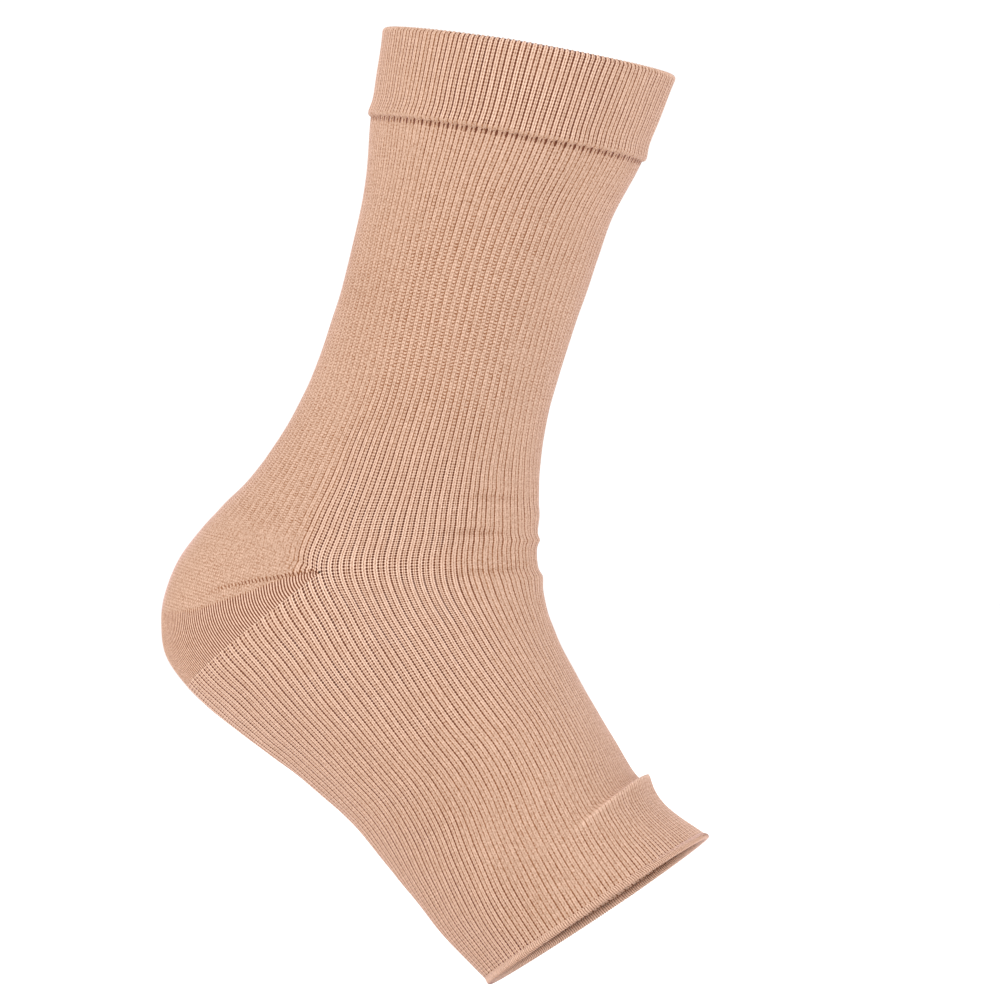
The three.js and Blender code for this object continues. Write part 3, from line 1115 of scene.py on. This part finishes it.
@dataclass(frozen=True)
class KnitFinish:
    """What every knitted finish shares: the yarn, its fuzz and how deep its loops stand.

    Each noise has a scale and a weight. The other weights say how much each part of the rib pattern lightens
    or darkens the cloth. upper and lower are the darkness of the two grooves, painted shade of the recesses:
    where both are alike, and what the deeper one has more. dots is how far they break up into holes, dark
    with painted shade, dot_shape how round and how deep those are, and loop_shift how many courses the face
    wale's stitch holes lie after them. gleam_at and shadow_at are where in a course a closed loop gleams and
    is in shadow, and the level that each is counted from.
    """

    name: str
    yarn: Yarn = Yarn()
    loop_height: float = 0.14
    fuzz: tuple[float, float] = (5200.0, 0.22)
    fuzz_height: float = 0.15
    fleck: tuple[float, float] = (2000.0, 0.58)
    blotch: tuple[float, float] = (60.0, 0.05)
    loop_shift: float = 0.5
    loop_dip: float = 0.6
    upper: tuple[float, float] = (1.1, -0.6)
    lower: tuple[float, float] = (0.55, 0.6)
    dots: float = 1.0
    dot_shape: tuple[float, float] = (0.7, 1.4)
    groove: float = 1.05
    strand: float = 0.62
    bead: float = 0.44
    face_hole: float = 0.25
    purl_hole: float = 0.22
    ladder: float = 0.20
    face_lift: float = 0.07
    crescent: float = 0.62
    crescent_bow: float = 8.0
    loop_gleam: float = 0.45
    gleam_at: tuple[float, float] = (0.1, 0.45)
    loop_shadow: float = 1.3
    shadow_at: tuple[float, float] = (0.6, 0.3)
    wale_edge: float = 1.7
    open_loops: float = 0.82
    open_light: float = 0.03
    # weights the painted shade in creases and the painted highlight on fold crests
    painted_crease_shading: float = 0.10

    def tone(self, net: Net) -> Signal:
        """The brightness of the knit, from 0 in its holes to 1 on its shining strands."""
        raise NotImplementedError

    def ribs(self, net: Net, wale: Signal, course: Signal) -> Signal:
        """Draws the rib repeat: a groove, a face wale of two strands, a groove and a recessed purl wale.

        Args:
            net: the material's nodes.
            wale: the wale number.
            course: the course number.

        Returns:
            How much the pattern lightens the knit, below 0 where it darkens it.
        """
        place = wale.rib_place()
        beat = course.beat()
        opened, balance = net.map_values("Look")
        # the second value of this map is painted shade in creases, below 0 a painted highlight on fold
        # crests
        closed, painted_shading = net.map_values("LoopsAndPaintedShading")
        dotted = opened.math("MINIMUM", 1.0)
        # painted shade in the two grooves, which the dots break into stitch holes
        upper = opened * (self.upper[0] + self.upper[1] * balance) * place.line(UPPER_GROOVE, GROOVE_REACH)
        lower = opened * (self.lower[0] + self.lower[1] * balance) * place.line(LOWER_GROOVE, GROOVE_REACH)
        dot = beat * (self.dot_shape[0] + self.dot_shape[1] * beat)
        grooves = (upper + lower) * (1.0 + dotted * self.dots * (dot - 1.0))
        strands = place.lines(STRANDS, STRAND_REACH)
        beads = place.lines(BEADS, BEAD_REACH)
        loops = (strands * self.strand + beads * self.bead) * (1.0 - self.loop_dip * dotted * beat)
        # painted shade in the stitch holes of the face and purl wales
        face_holes = place.line(FACE, FACE_HOLE_REACH) * course.beat(self.loop_shift) * self.face_hole
        purl_holes = place.line(PURL, HOLE_REACH) * self.purl_hole
        face = (place.line(FACE, FACE_REACH) * self.wale_edge).clamp()
        purl = (place.line(PURL, PURL_REACH) * self.wale_edge).clamp()
        bow = (place - PURL) * (place - PURL) * self.crescent_bow
        crescents = purl * ((course + bow).beat() - 0.5)
        open_look = loops - dotted * (face_holes + purl_holes + crescents * self.ladder)
        shadow = place.line(FACE, HOLE_REACH) * (course.beat(self.shadow_at[0]) - self.shadow_at[1])
        gleam = strands * (course.beat(self.gleam_at[0]) - self.gleam_at[1]) - self.loop_shadow * shadow
        closed_look = self.face_lift * (face - purl) - crescents * self.crescent + gleam * self.loop_gleam
        shown = self.open_loops * opened * open_look - grooves * self.groove + closed * closed_look
        # the last term is painted shade in creases and painted highlight on fold crests
        return shown + self.open_light * (opened - 1.0) - self.painted_crease_shading * painted_shading

    def material(self) -> bpy.types.Material:
        """Makes the finish's material.

        Returns:
            The material.
        """
        net = Net(self.name)
        tone = self.tone(net)
        fuzz = net.noise(self.fuzz[0])
        fleck = net.noise(self.fleck[0], detail=1.0)
        blotch = net.noise(self.blotch[0])
        shown = tone + self.fuzz[1] * (fuzz - 0.5) + self.fleck[1] * (fleck - 0.5)
        shown = shown + self.blotch[1] * (blotch - 0.5)
        height = tone + self.fuzz_height * fuzz
        relief = {"Strength": 1.0, "Distance": self.loop_height * MM, "Height": height}
        shading = {
            "Base Color": net.ramp(shown.clamp(), self.yarn.stops()),
            "Roughness": self.yarn.roughness,
            "Sheen Weight": self.yarn.sheen,
            "Sheen Roughness": self.yarn.sheen_roughness,
            "Sheen Tint": (*self.yarn.sheen_tint, 1.0),
            "Normal": net.node("ShaderNodeBump", {}, relief),
        }
        return net.finish(shading)


@dataclass(frozen=True)
class RibFinish(KnitFinish):
    """Mock rib, with the stitch holes of a linking seam below its first course where it has one.

    seam_courses is the course number of the seam. The painted shade under the welt's lip and the seam's
    large and small holes, dark with painted shade, each have a weight, and the courses over which they fade
    out below it.
    """

    seam_courses: float = 0.0
    painted_lip_shade: float = 0.05
    shade_fade: tuple[float, float] = (0.2, 1.6)
    large_hole: float = 0.85
    large_reach: float = 0.20
    large_fade: tuple[float, float] = (0.3, 1.3)
    small_hole: float = 0.40
    small_reach: float = 0.14
    small_fade: tuple[float, float] = (0.1, 0.9)

    def tone(self, net: Net) -> Signal:
        """Draws the rib repeat and the seam.

        Args:
            net: the material's nodes.

        Returns:
            The knit's brightness.
        """
        wale, course = net.map_values("Knit")
        tone = 0.5 + self.ribs(net, wale, course)
        return tone - self.seam(wale, course) if self.seam_courses else tone

    def seam(self, wale: Signal, course: Signal) -> Signal:
        """Painted shade under the lip and in a linking seam's holes, in the first courses: a large and a
        small one a rib.

        Args:
            wale: the wale number.
            course: the course number.

        Returns:
            How much they darken the knit.
        """
        place = wale.rib_place()
        below = course - self.seam_courses
        # painted shade under the welt's lip
        under = 1.0 - below.rise(*self.shade_fade)
        # painted shade in the seam's large and small stitch holes
        large = place.line(UPPER_GROOVE, self.large_reach) * (1.0 - below.rise(*self.large_fade))
        small = place.line(LOWER_GROOVE, self.small_reach) * (1.0 - below.rise(*self.small_fade))
        return self.painted_lip_shade * under + self.large_hole * large + self.small_hole * small


@dataclass(frozen=True)
class HeelFinish(KnitFinish):
    """Knit of the heel pocket: ribs that grow plain, the gore's slanted stitches and the fine wales.

    fine_light is how bright the fine wales stand between their grooves, which are dark with painted shade,
    plain the weight of the plain loops and plain_loss how soon they give way to the leg's, stitch the weight
    of the painted shadow in the gaps between the gore's slanted stitches, stitch_slant how many stitches
    those shift a millimetre, and stitch_fade the millimetres over which they end.
    """

    loop_height: float = 0.08
    fine_light: float = 0.28
    fine_reach: float = 0.42
    plain: float = 0.22
    plain_loss: float = 1.8
    stitches_per_wale: float = 1.5
    stitch_fade: tuple[float, float] = (0.25, 1.05)
    stitch_slant: float = 0.40
    stitch_width: float = 0.28
    stitch: float = 0.62

    def tone(self, net: Net) -> Signal:
        """Draws the fine wales and the gore's stitches.

        Args:
            net: the material's nodes.

        Returns:
            The knit's brightness.
        """
        wale, course = net.map_values("Knit")
        from_stitches, stitched = net.map_values("Gore")
        fine, strength = net.map_values("Fine")
        needle = (wale * NEEDLES_PER_WALE).fract()
        # painted shade in the grooves between the fine wales
        fine_wales = (self.fine_light - needle.line(0.0, self.fine_reach)) * strength
        closed, _ = net.map_values("LoopsAndPaintedShading")
        loops = needle.beat() * course.beat() - 0.25
        plain = self.plain * loops * (1.0 - self.plain_loss * closed).clamp()
        along = wale * self.stitches_per_wale + from_stitches * self.stitch_slant
        across = 1.0 - from_stitches.absolute().rise(*self.stitch_fade)
        # painted shadow in the gaps between the gore's slanted stitches
        stitches = along.fract().line(0.5, self.stitch_width) * across * stitched
        upper = self.ribs(net, wale, course) + plain
        return 0.5 + upper * (1.0 - fine) + fine_wales * fine - self.stitch * stitches


@dataclass(frozen=True)
class EdgeFinish(KnitFinish):
    """The bound-off edge: one slanted loop over each needle."""

    loop: float = 0.68
    gap: float = 0.60
    gap_reach: float = 0.26
    slant: float = 0.25
    uneven: float = 0.06

    def tone(self, net: Net) -> Signal:
        """Draws the bound-off loops.

        Args:
            net: the material's nodes.

        Returns:
            The knit's brightness.
        """
        wale, course = net.map_values("Knit")
        _, painted_shading = net.map_values("LoopsAndPaintedShading")
        needle = wale * NEEDLES_PER_WALE + REPEAT_START * NEEDLES_PER_WALE
        # painted shade in the slanted gaps between the bound-off loops
        gap = (needle + self.slant * course).fract().line(0.0, self.gap_reach)
        loops = self.loop - self.gap * gap + self.uneven * (needle * 0.5).beat()
        # painted shade in creases and painted highlight on fold crests
        return loops - self.painted_crease_shading * painted_shading


# --- Pieces of the sleeve ---------------------------------------------------------------------------


class Slot(Enum):
    """The record's material slots."""

    RIB = "rib_knit"
    WELT = "welt_knit"
    HEEL = "heel_knit"
    EDGE = "bound_edge"


@dataclass(frozen=True)
class Cut:
    """The flat size a piece of cloth was knitted to, in metres."""

    width: float
    length: float


@dataclass
class ClothPiece:
    """A piece of the sleeve: one shell that stands for a node of the frame."""

    form: SleeveForm
    node: str
    slot: Slot
    finish: KnitFinish
    cut: Cut | None = None
    trims: tuple[str, ...] = ()

    def shell(self) -> Shell:
        """Works out the piece's wall."""
        raise NotImplementedError

    def make(self) -> bpy.types.Object:
        """Builds and dresses the piece, and ties it to the frame.

        Returns:
            The piece's object.
        """
        made = self.shell().build(f"{self.node}_cloth")
        made.data.materials.append(self.finish.material())
        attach(made, "root")
        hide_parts(self.node)
        log.info("%s: %d faces", made.name, len(made.data.polygons))
        return made

    def declare(self, made: dict[str, bpy.types.Object]) -> None:
        """Does nothing: the flat size of the cloth is not stated.

        Args:
            made: not used.
        """

    def columns(self) -> Array:
        """The wale numbers of the columns of points round the sleeve."""
        return ribbed_columns()

    def ribbed_rows(
        self, zone: Zone, at: Array, depth: Array, relief: Array, shift: Array | float = 0.0
    ) -> tuple[Array, dict[str, Array]]:
        """Places rows of ribbed cloth.

        Args:
            zone: the knitted stretch.
            at: each row's section number.
            depth: each row's depth below the folded surface.
            relief: each row's share of the full relief.
            shift: a change of the section numbers, as rows by columns.

        Returns:
            The points, as rows by columns, and the maps of the knit and its look.
        """
        wale = np.repeat(self.columns()[None, :], len(at), axis=0)
        course = np.repeat(self.form.courses_above(at)[:, None], wale.shape[1], axis=1)
        angle = self.form.angles(zone, at, wale)
        places = np.broadcast_to(at[:, None], wale.shape) + shift
        balance = read_table(places, DEEP_GROOVE)
        opened, crescents = openness(places, angle)
        opened = opened * (1 + PULL_UNEVEN.over(wale, course))
        angle = angle + WANDER.over(wale, course)
        relieved = rib_relief(wale, course, balance, opened) - PUCKER.over(wale, course)
        points = self.form.skin(zone, places, angle, depth[:, None] + relieved * relief[:, None])
        rise, _ = self.form.lift(zone, places, angle)
        # painted shade in the troughs of folds and creases, less the painted highlight on the high folds'
        # crests
        painted_shading = np.clip(-rise / CREASE_SHADE_DEPTH, 0.0, 1.0) - CREST_HIGHLIGHT * self.form.crest(places, angle)
        pairs = {"Knit": (wale, course), "Look": (opened, balance), "LoopsAndPaintedShading": (crescents, painted_shading)}
        return points, stacked(pairs)

    def closed_round(self, points: Array, maps: dict[str, Array], creased: tuple[int, ...] = ()) -> Shell:
        """Joins ribbed rows into a shell that closes round the sleeve.

        Args:
            points: the rows' points.
            maps: their maps.
            creased: the rows along which the surface turns sharply.

        Returns:
            The shell.
        """
        wide = {name: with_last(values) for name, values in maps.items()}
        wide["Knit"][:, -1, 0] = WALES
        return Shell(points, wide, creased)


@dataclass
class TubeCloth(ClothPiece):
    """A ribbed length of tube, plain inside."""

    zone: Zone = Zone.LEG
    first: float = 0.0
    last: float = GORE_SECTION
    rows: int = 73
    inside_rows: int = 11
    crowded: tuple[tuple[float, float, float], ...] = ()
    wall: float = 1.5

    def shell(self) -> Shell:
        """Runs rows down the outside and back up the inside.

        Returns:
            The tube's wall.
        """
        outside = spaced(self.first, self.last, self.rows, self.crowded)
        inside = spaced(self.first, self.last, self.inside_rows, self.crowded)[::-1]
        at = np.concatenate([outside, inside])
        outer = np.arange(len(at)) < len(outside)
        depth = np.where(outer, 0.0, self.wall)
        relief = np.where(outer, 1.0, 0.0)
        points, maps = self.ribbed_rows(self.zone, at, depth, relief)
        return self.closed_round(points, maps, (0, len(outside) - 1))


@dataclass
class WeltCloth(ClothPiece):
    """The turned welt: a rounded top fold, a ribbed face, and a lip over the linking seam.

    The lip stands lip millimetres proud at the section lip_at, flares out over flare millimetres above it
    and tucks in below it. Its edge grows smooth over edge_reach, where it loses edge_smooth of its relief
    and edge_closed of its pull, and dips between the ribs by scallop. On the top fold the grooves dip by
    rim_dip, which fades out over rim_reach.
    """

    wall: float = 2.2
    face_rows: int = 24
    crown_rows: int = 8
    inside_rows: int = 5
    bottom: float = 0.988
    lip: float = 0.95
    lip_at: float = 0.945
    lip_rows: tuple[float, float] = (0.05, 4.0)
    flare: float = 3.4
    tuck: float = 0.1
    edge_reach: float = 1.2
    edge_smooth: float = 0.85
    edge_closed: float = 0.75
    scallop: float = 0.45
    fold_fade: float = 1.5
    rim_reach: float = 3.0
    rim_dip: float = 0.6

    def shell(self) -> Shell:
        """Runs rows from the inside over the top fold, down the face, round the lip and up the inside.

        Returns:
            The welt's wall.
        """
        step = self.form.side_step(0.5)
        radius = self.wall / 2
        turn = np.linspace(math.pi, 0.0, self.crown_rows, endpoint=False)
        crown_at = radius / step * (1 - np.sin(turn))
        crown_depth = radius * (1 - np.cos(turn))
        crown_relief = soft_step(self.fold_fade * (1 - turn / math.pi))
        face_at = spaced(radius / step, self.bottom, self.face_rows, ((self.lip_at, *self.lip_rows),))
        from_lip = face_at - self.lip_at
        rise = np.exp(-((np.minimum(from_lip, 0.0) * step / self.flare) ** 2))
        tucked = np.clip(from_lip / (self.bottom - self.lip_at), 0.0, 1.0) ** 2
        face_depth = -self.lip * rise + (self.lip + self.tuck) * tucked
        edge_on_face = soft_step(from_lip * step / self.edge_reach + 1.0)
        face_relief = 1 - self.edge_smooth * edge_on_face
        inside_at = np.linspace(self.bottom, radius / step, self.inside_rows)
        at = np.concatenate([crown_at, face_at, inside_at])
        depth = np.concatenate([crown_depth, face_depth, np.full(self.inside_rows, self.wall)])
        relief = np.concatenate([crown_relief, face_relief, np.zeros(self.inside_rows)])
        edge = np.concatenate([np.zeros(self.crown_rows), edge_on_face, np.zeros(self.inside_rows)])
        place = rib_place(ribbed_columns())
        scallop = self.scallop / step * wave(place)
        outside = soft_step(1 + self.fold_fade * (1 - depth / radius))
        top = soft_step(1 - at * step / self.rim_reach) * outside
        dip = self.rim_dip / step * (1 - wave(2 * (place - FACE)))
        shift = np.outer(top, dip) - np.outer(edge, scallop)
        points, maps = self.ribbed_rows(Zone.LEG, at, depth, relief, shift)
        maps["Look"][..., 0] *= (1 - self.edge_closed * edge)[:, None]
        bottom = self.crown_rows + self.face_rows
        return self.closed_round(points, maps, (bottom - 1, bottom))


@dataclass
class ToeEdgeCloth(ClothPiece):
    """The bound-off edge at the toes, a low bead with one loop for each needle.

    The bead stands proud millimetres out of the foot, and each loop swells it by up to loop, as far round
    the bead as loop_wrap says. Its cloth starts sunk below the foot's, at the section first.
    """

    first: float = 17.87
    sunk: float = 0.05
    wall: float = 1.8
    proud: float = 0.22
    loop: float = 0.30
    loop_reach: float = 0.8
    loop_wrap: float = 0.6
    foot_relief: float = 0.7
    bead_relief: float = 0.25
    rows: int = 9
    columns_per_loop: int = 6

    def columns(self) -> Array:
        """The wale numbers of even columns, enough of them for each loop to look round."""
        count = round(WALES * NEEDLES_PER_WALE) * self.columns_per_loop
        return np.linspace(0.0, WALES, count, endpoint=False)

    def shell(self) -> Shell:
        """Runs rows round the bead's outside, over its end and back along its inside.

        Returns:
            The edge's wall.
        """
        step = self.form.side_step(FOOT_END)
        radius = self.wall / 2
        turn = np.linspace(0.0, math.pi, self.rows)
        round_at = self.form.toe - radius / step * (1 - np.sin(turn))
        round_depth = radius - self.proud - radius * np.cos(turn)
        at = np.concatenate([[self.first], round_at, [self.first]])
        depth = np.concatenate([[self.sunk], round_depth, [self.wall - self.proud]])
        bead_relief = self.bead_relief * np.clip(np.cos(turn), 0, 1)
        relief = np.concatenate([[self.foot_relief], bead_relief, [0.0]])
        loops = np.sqrt(np.abs(np.sin(math.pi * NEEDLES_PER_WALE * (self.columns() + REPEAT_START))))
        share = np.concatenate([[0.0], np.clip(np.cos(turn) + self.loop_wrap, 0, 1), [0.0]])
        swell = np.outer(share, loops) * self.loop
        points, maps = self.ribbed_rows(Zone.FOOT, at, depth, relief, swell * self.loop_reach / step)
        outward = points - points.mean(axis=1, keepdims=True)
        size = np.linalg.norm(outward, axis=-1, keepdims=True)
        return self.closed_round(points + outward / size * swell[..., None], maps)


@dataclass
class HeelCloth(ClothPiece):
    """The heel pocket between the leg's and the foot's back halves.

    Its upper part goes on with the leg's knit and grows plain, a line of slanted stitches runs in from each
    gore corner, and fine plain wales run below it. Both lines are given as shares of the way down the
    pocket by degrees round from the front, as is how far each shows. The fine wales set in over fine_edge
    millimetres. The leg's look, relief and loops fade out over ribs_end, relief_end and loops_end.
    """

    wall: float = 1.3
    rows: int = 36
    columns_per_needle: int = 5
    groove: float = 0.17
    stitch_groove: float = 0.16
    stitch_width: float = 0.8
    fine_edge: float = 1.2
    corner: float = 0.5
    above_gore: float = 0.03
    ribs_end: float = 7.0
    relief_end: float = 6.0
    loops_end: float = 12.0
    balance: float = 0.5
    stitch_line: Table = (
        (90, 0.30),
        (94, 0.34),
        (98, 0.42),
        (103, 0.455),
        (112, 0.46),
        (122, 0.47),
        (135, 0.52),
        (180, 0.60),
    )
    fine_line: Table = (
        (90, 0.42),
        (96, 0.46),
        (103, 0.53),
        (111, 0.60),
        (126, 0.61),
        (139, 0.60),
        (152, 0.56),
        (164, 0.53),
        (180, 0.52),
    )
    stitch_fades: Table = ((90, 1.0), (108, 0.9), (122, 0.5), (134, 0.0))
    fine_fades: Table = ((90, 1.0), (128, 1.0), (150, 0.55), (180, 0.25))

    def shell(self) -> Shell:
        """Runs rows down the outside of the pocket and back up its inside.

        Returns:
            The pocket's wall.
        """
        first = GORE_WALES + self.corner
        count = round((WALES - 2 * first) * NEEDLES_PER_WALE * self.columns_per_needle)
        wale = np.linspace(first, WALES - first, count + 1)
        share = np.linspace(0, 1, self.rows)
        at = np.concatenate([share, share[::-1]])
        outer = np.arange(len(at)) < self.rows
        wales = np.repeat(wale[None, :], len(at), axis=0)
        angle = self.form.angles(Zone.HEEL, at, wales)
        places = np.repeat(at[:, None], len(wale), axis=1)
        smooth = self.form.bare(Zone.HEEL, places[outer], angle[outer])
        down = np.linalg.norm(np.diff(smooth, axis=0, prepend=smooth[:1]), axis=-1)
        run = np.cumsum(down, axis=0)
        length = run[-1]
        run = np.concatenate([run, run[::-1]])
        degrees = from_front(angle)
        from_stitches = (places - read_table(degrees, self.stitch_line)) * length
        from_fine = (places - read_table(degrees, self.fine_line)) * length
        fine = soft_step(from_fine / self.fine_edge + 0.5)
        fine_fade = read_table(degrees, self.fine_fades)
        stitch_fade = read_table(degrees, self.stitch_fades)
        gore = self.form.gore
        pulled, loops = openness(gore - self.above_gore - run / self.form.side_step(gore), angle)
        loops = loops * (1 - soft_step(run / self.loops_end))
        course = self.form.courses_above(np.array([gore]))[0] + run / COURSE_PITCH
        pulled = pulled * (1 + PULL_UNEVEN.over(wales, course))
        ribbed = pulled * (1 - soft_step(run / self.ribs_end))
        balance = np.full_like(wales, self.balance)
        depth = rib_relief(wales, course, balance, ribbed) * (1 - soft_step(run / self.relief_end))
        grooves = wave(NEEDLES_PER_WALE * wales) * fine
        depth = depth + self.groove * grooves * (CLOSED_RELIEF + (1 - CLOSED_RELIEF) * fine_fade)
        stitched = np.exp(-((from_stitches / self.stitch_width) ** 2))
        depth = depth + self.stitch_groove * stitch_fade * stitched
        depth = depth - PUCKER.over(wales, course)
        angle = angle + WANDER.over(wales, course)
        points = self.form.skin(Zone.HEEL, places, angle, np.where(outer[:, None], depth, self.wall))
        pairs = {
            "Knit": (wales, course),
            "Look": (ribbed, balance),
            "LoopsAndPaintedShading": (loops, np.zeros_like(run)),
            "Gore": (from_stitches, stitch_fade),
            "Fine": (fine, fine_fade),
        }
        return Shell(points, stacked(pairs), (0, self.rows - 1), closes_round=False)


# --- Studio -----------------------------------------------------------------------------------------


@dataclass(frozen=True)
class FloorFinish:
    """The plain pale floor, with the faintest grain."""

    name: str = "pale_floor"
    shade: Colour = (0.94, 0.94, 0.94)
    light: Colour = (0.96, 0.96, 0.96)
    grain_scale: float = 3.0
    roughness: float = 0.9

    def material(self) -> bpy.types.Material:
        """Makes the floor's material.

        Returns:
            The material.
        """
        net = Net(self.name)
        colour = net.ramp(net.noise(self.grain_scale), ((0.0, self.shade), (1.0, self.light)))
        return net.finish({"Base Color": colour, "Roughness": self.roughness})


@dataclass(frozen=True)
class SoftLight:
    """One soft rectangular light: its place, the size of its sides, its power and its colour."""

    name: str
    place: tuple[float, float, float]
    size: float
    power: float
    colour: Colour = (1.0, 1.0, 1.0)


@dataclass
class Studio:
    """The pale floor, the soft lights and the camera."""

    low: Vector
    high: Vector
    azimuth: float = 12.0
    distance: float = 1.4
    lens: float = 171.4
    sensor: float = 36.0
    aim_offset: tuple[float, float] = (0.0207, 0.0015)
    floor_gap: float = 0.016
    floor_reach: float = 6.0
    sky: float = 1.08
    lights: tuple[SoftLight, ...] = (
        SoftLight("key", (-1.2, -1.3, 1.1), 0.9, 13.0),
        SoftLight("fill", (1.6, -0.6, 0.5), 1.2, 8.5, (0.78, 0.86, 1.0)),
        SoftLight("back", (-0.4, 1.7, 1.2), 1.2, 15.0),
    )

    def build(self) -> None:
        """Makes the whole studio."""
        middle = (self.low + self.high) / 2
        self.build_floor(middle)
        self.build_lights(middle)
        self.build_camera(middle)
        self.build_sky()

    def build_floor(self, middle: Vector) -> None:
        """Lays a large pale floor a little below the sleeve.

        Args:
            middle: the sleeve's middle.
        """
        height = self.low.z - self.floor_gap
        reach = self.floor_reach
        sides = ((-1, -1), (1, -1), (1, 1), (-1, 1))
        corners = [(middle.x + x * reach, middle.y + y * reach, height) for x, y in sides]
        mesh = bpy.data.meshes.new("floor")
        mesh.from_pydata(corners, [], [(0, 1, 2, 3)])
        floor = bpy.data.objects.new("floor", mesh)
        bpy.context.collection.objects.link(floor)
        mesh.materials.append(FloorFinish().material())

    def build_lights(self, middle: Vector) -> None:
        """Hangs the soft lights, each turned to the sleeve.

        Args:
            middle: the sleeve's middle.
        """
        for light in self.lights:
            data = bpy.data.lights.new(light.name, "AREA")
            data.size = light.size
            data.energy = light.power
            data.color = light.colour
            lamp = bpy.data.objects.new(light.name, data)
            lamp.location = middle + Vector(light.place)
            lamp.rotation_euler = (middle - lamp.location).to_track_quat("-Z", "Y").to_euler()
            bpy.context.collection.objects.link(lamp)

    def build_camera(self, middle: Vector) -> None:
        """Sets the camera up level with the ankle, a little round towards the toes.

        Args:
            middle: the sleeve's middle.
        """
        turn = math.radians(self.azimuth)
        aim = Vector((middle.x + self.aim_offset[0], middle.y, middle.z + self.aim_offset[1]))
        data = bpy.data.cameras.new("camera")
        data.lens = self.lens
        data.sensor_width = self.sensor
        camera = bpy.data.objects.new("camera", data)
        camera.location = aim + self.distance * Vector((math.sin(turn), -math.cos(turn), 0.0))
        camera.rotation_euler = (aim - camera.location).to_track_quat("-Z", "Y").to_euler()
        bpy.context.collection.objects.link(camera)
        bpy.context.scene.camera = camera

    def build_sky(self) -> None:
        """Surrounds the scene with an even white light."""
        world = bpy.data.worlds.new("studio")
        world.use_nodes = True
        background = world.node_tree.nodes["Background"]
        background.inputs["Color"].default_value = (1.0, 1.0, 1.0, 1.0)
        background.inputs["Strength"].default_value = self.sky
        bpy.context.scene.world = world
        bpy.context.scene.view_settings.view_transform = "Standard"


def main() -> None:
    """Builds the sleeve piece by piece, then the studio round it."""
    logging.basicConfig(level=logging.INFO, format="%(message)s")
    form = SleeveForm()
    welt_end = float(form.courses_above(np.array([1.0]))[0])
    rib = RibFinish("rib_knit", seam_courses=welt_end)
    foot_rib = RibFinish("foot_rib_knit")
    welt_rib = RibFinish("welt_knit", loop_shift=0.0, dots=0.55, loop_dip=0.4, face_hole=0.4)
    pieces = (
        WeltCloth(form, "welt", Slot.WELT, welt_rib, Cut(0.250, 0.030)),
        TubeCloth(
            form, "leg", Slot.RIB, rib, Cut(0.225, 0.138),
            zone=Zone.LEG, first=0.972, last=GORE_SECTION, crowded=((8.0, 0.8, 2.0), (1.0, 0.06, 5.0)),
        ),
        HeelCloth(form, "heel_pocket", Slot.HEEL, HeelFinish("heel_knit"), Cut(0.105, 0.040)),
        TubeCloth(
            form, "foot", Slot.RIB, foot_rib, Cut(0.235, 0.120), ("toe_edge",),
            zone=Zone.FOOT, first=FOOT_START, last=FOOT_END, crowded=((9.8, 0.8, 0.6), (16.4, 0.45, 3.0)),
        ),
        ToeEdgeCloth(form, "toe_edge", Slot.EDGE, EdgeFinish("bound_edge")),
    )
    made = {piece.node: piece.make() for piece in pieces}
    for piece in pieces:
        piece.declare(made)
    low, high = (Vector(corner) for corner in CAD_BOX)
    Studio(low, high).build()


if __name__ == "__main__":
    main()
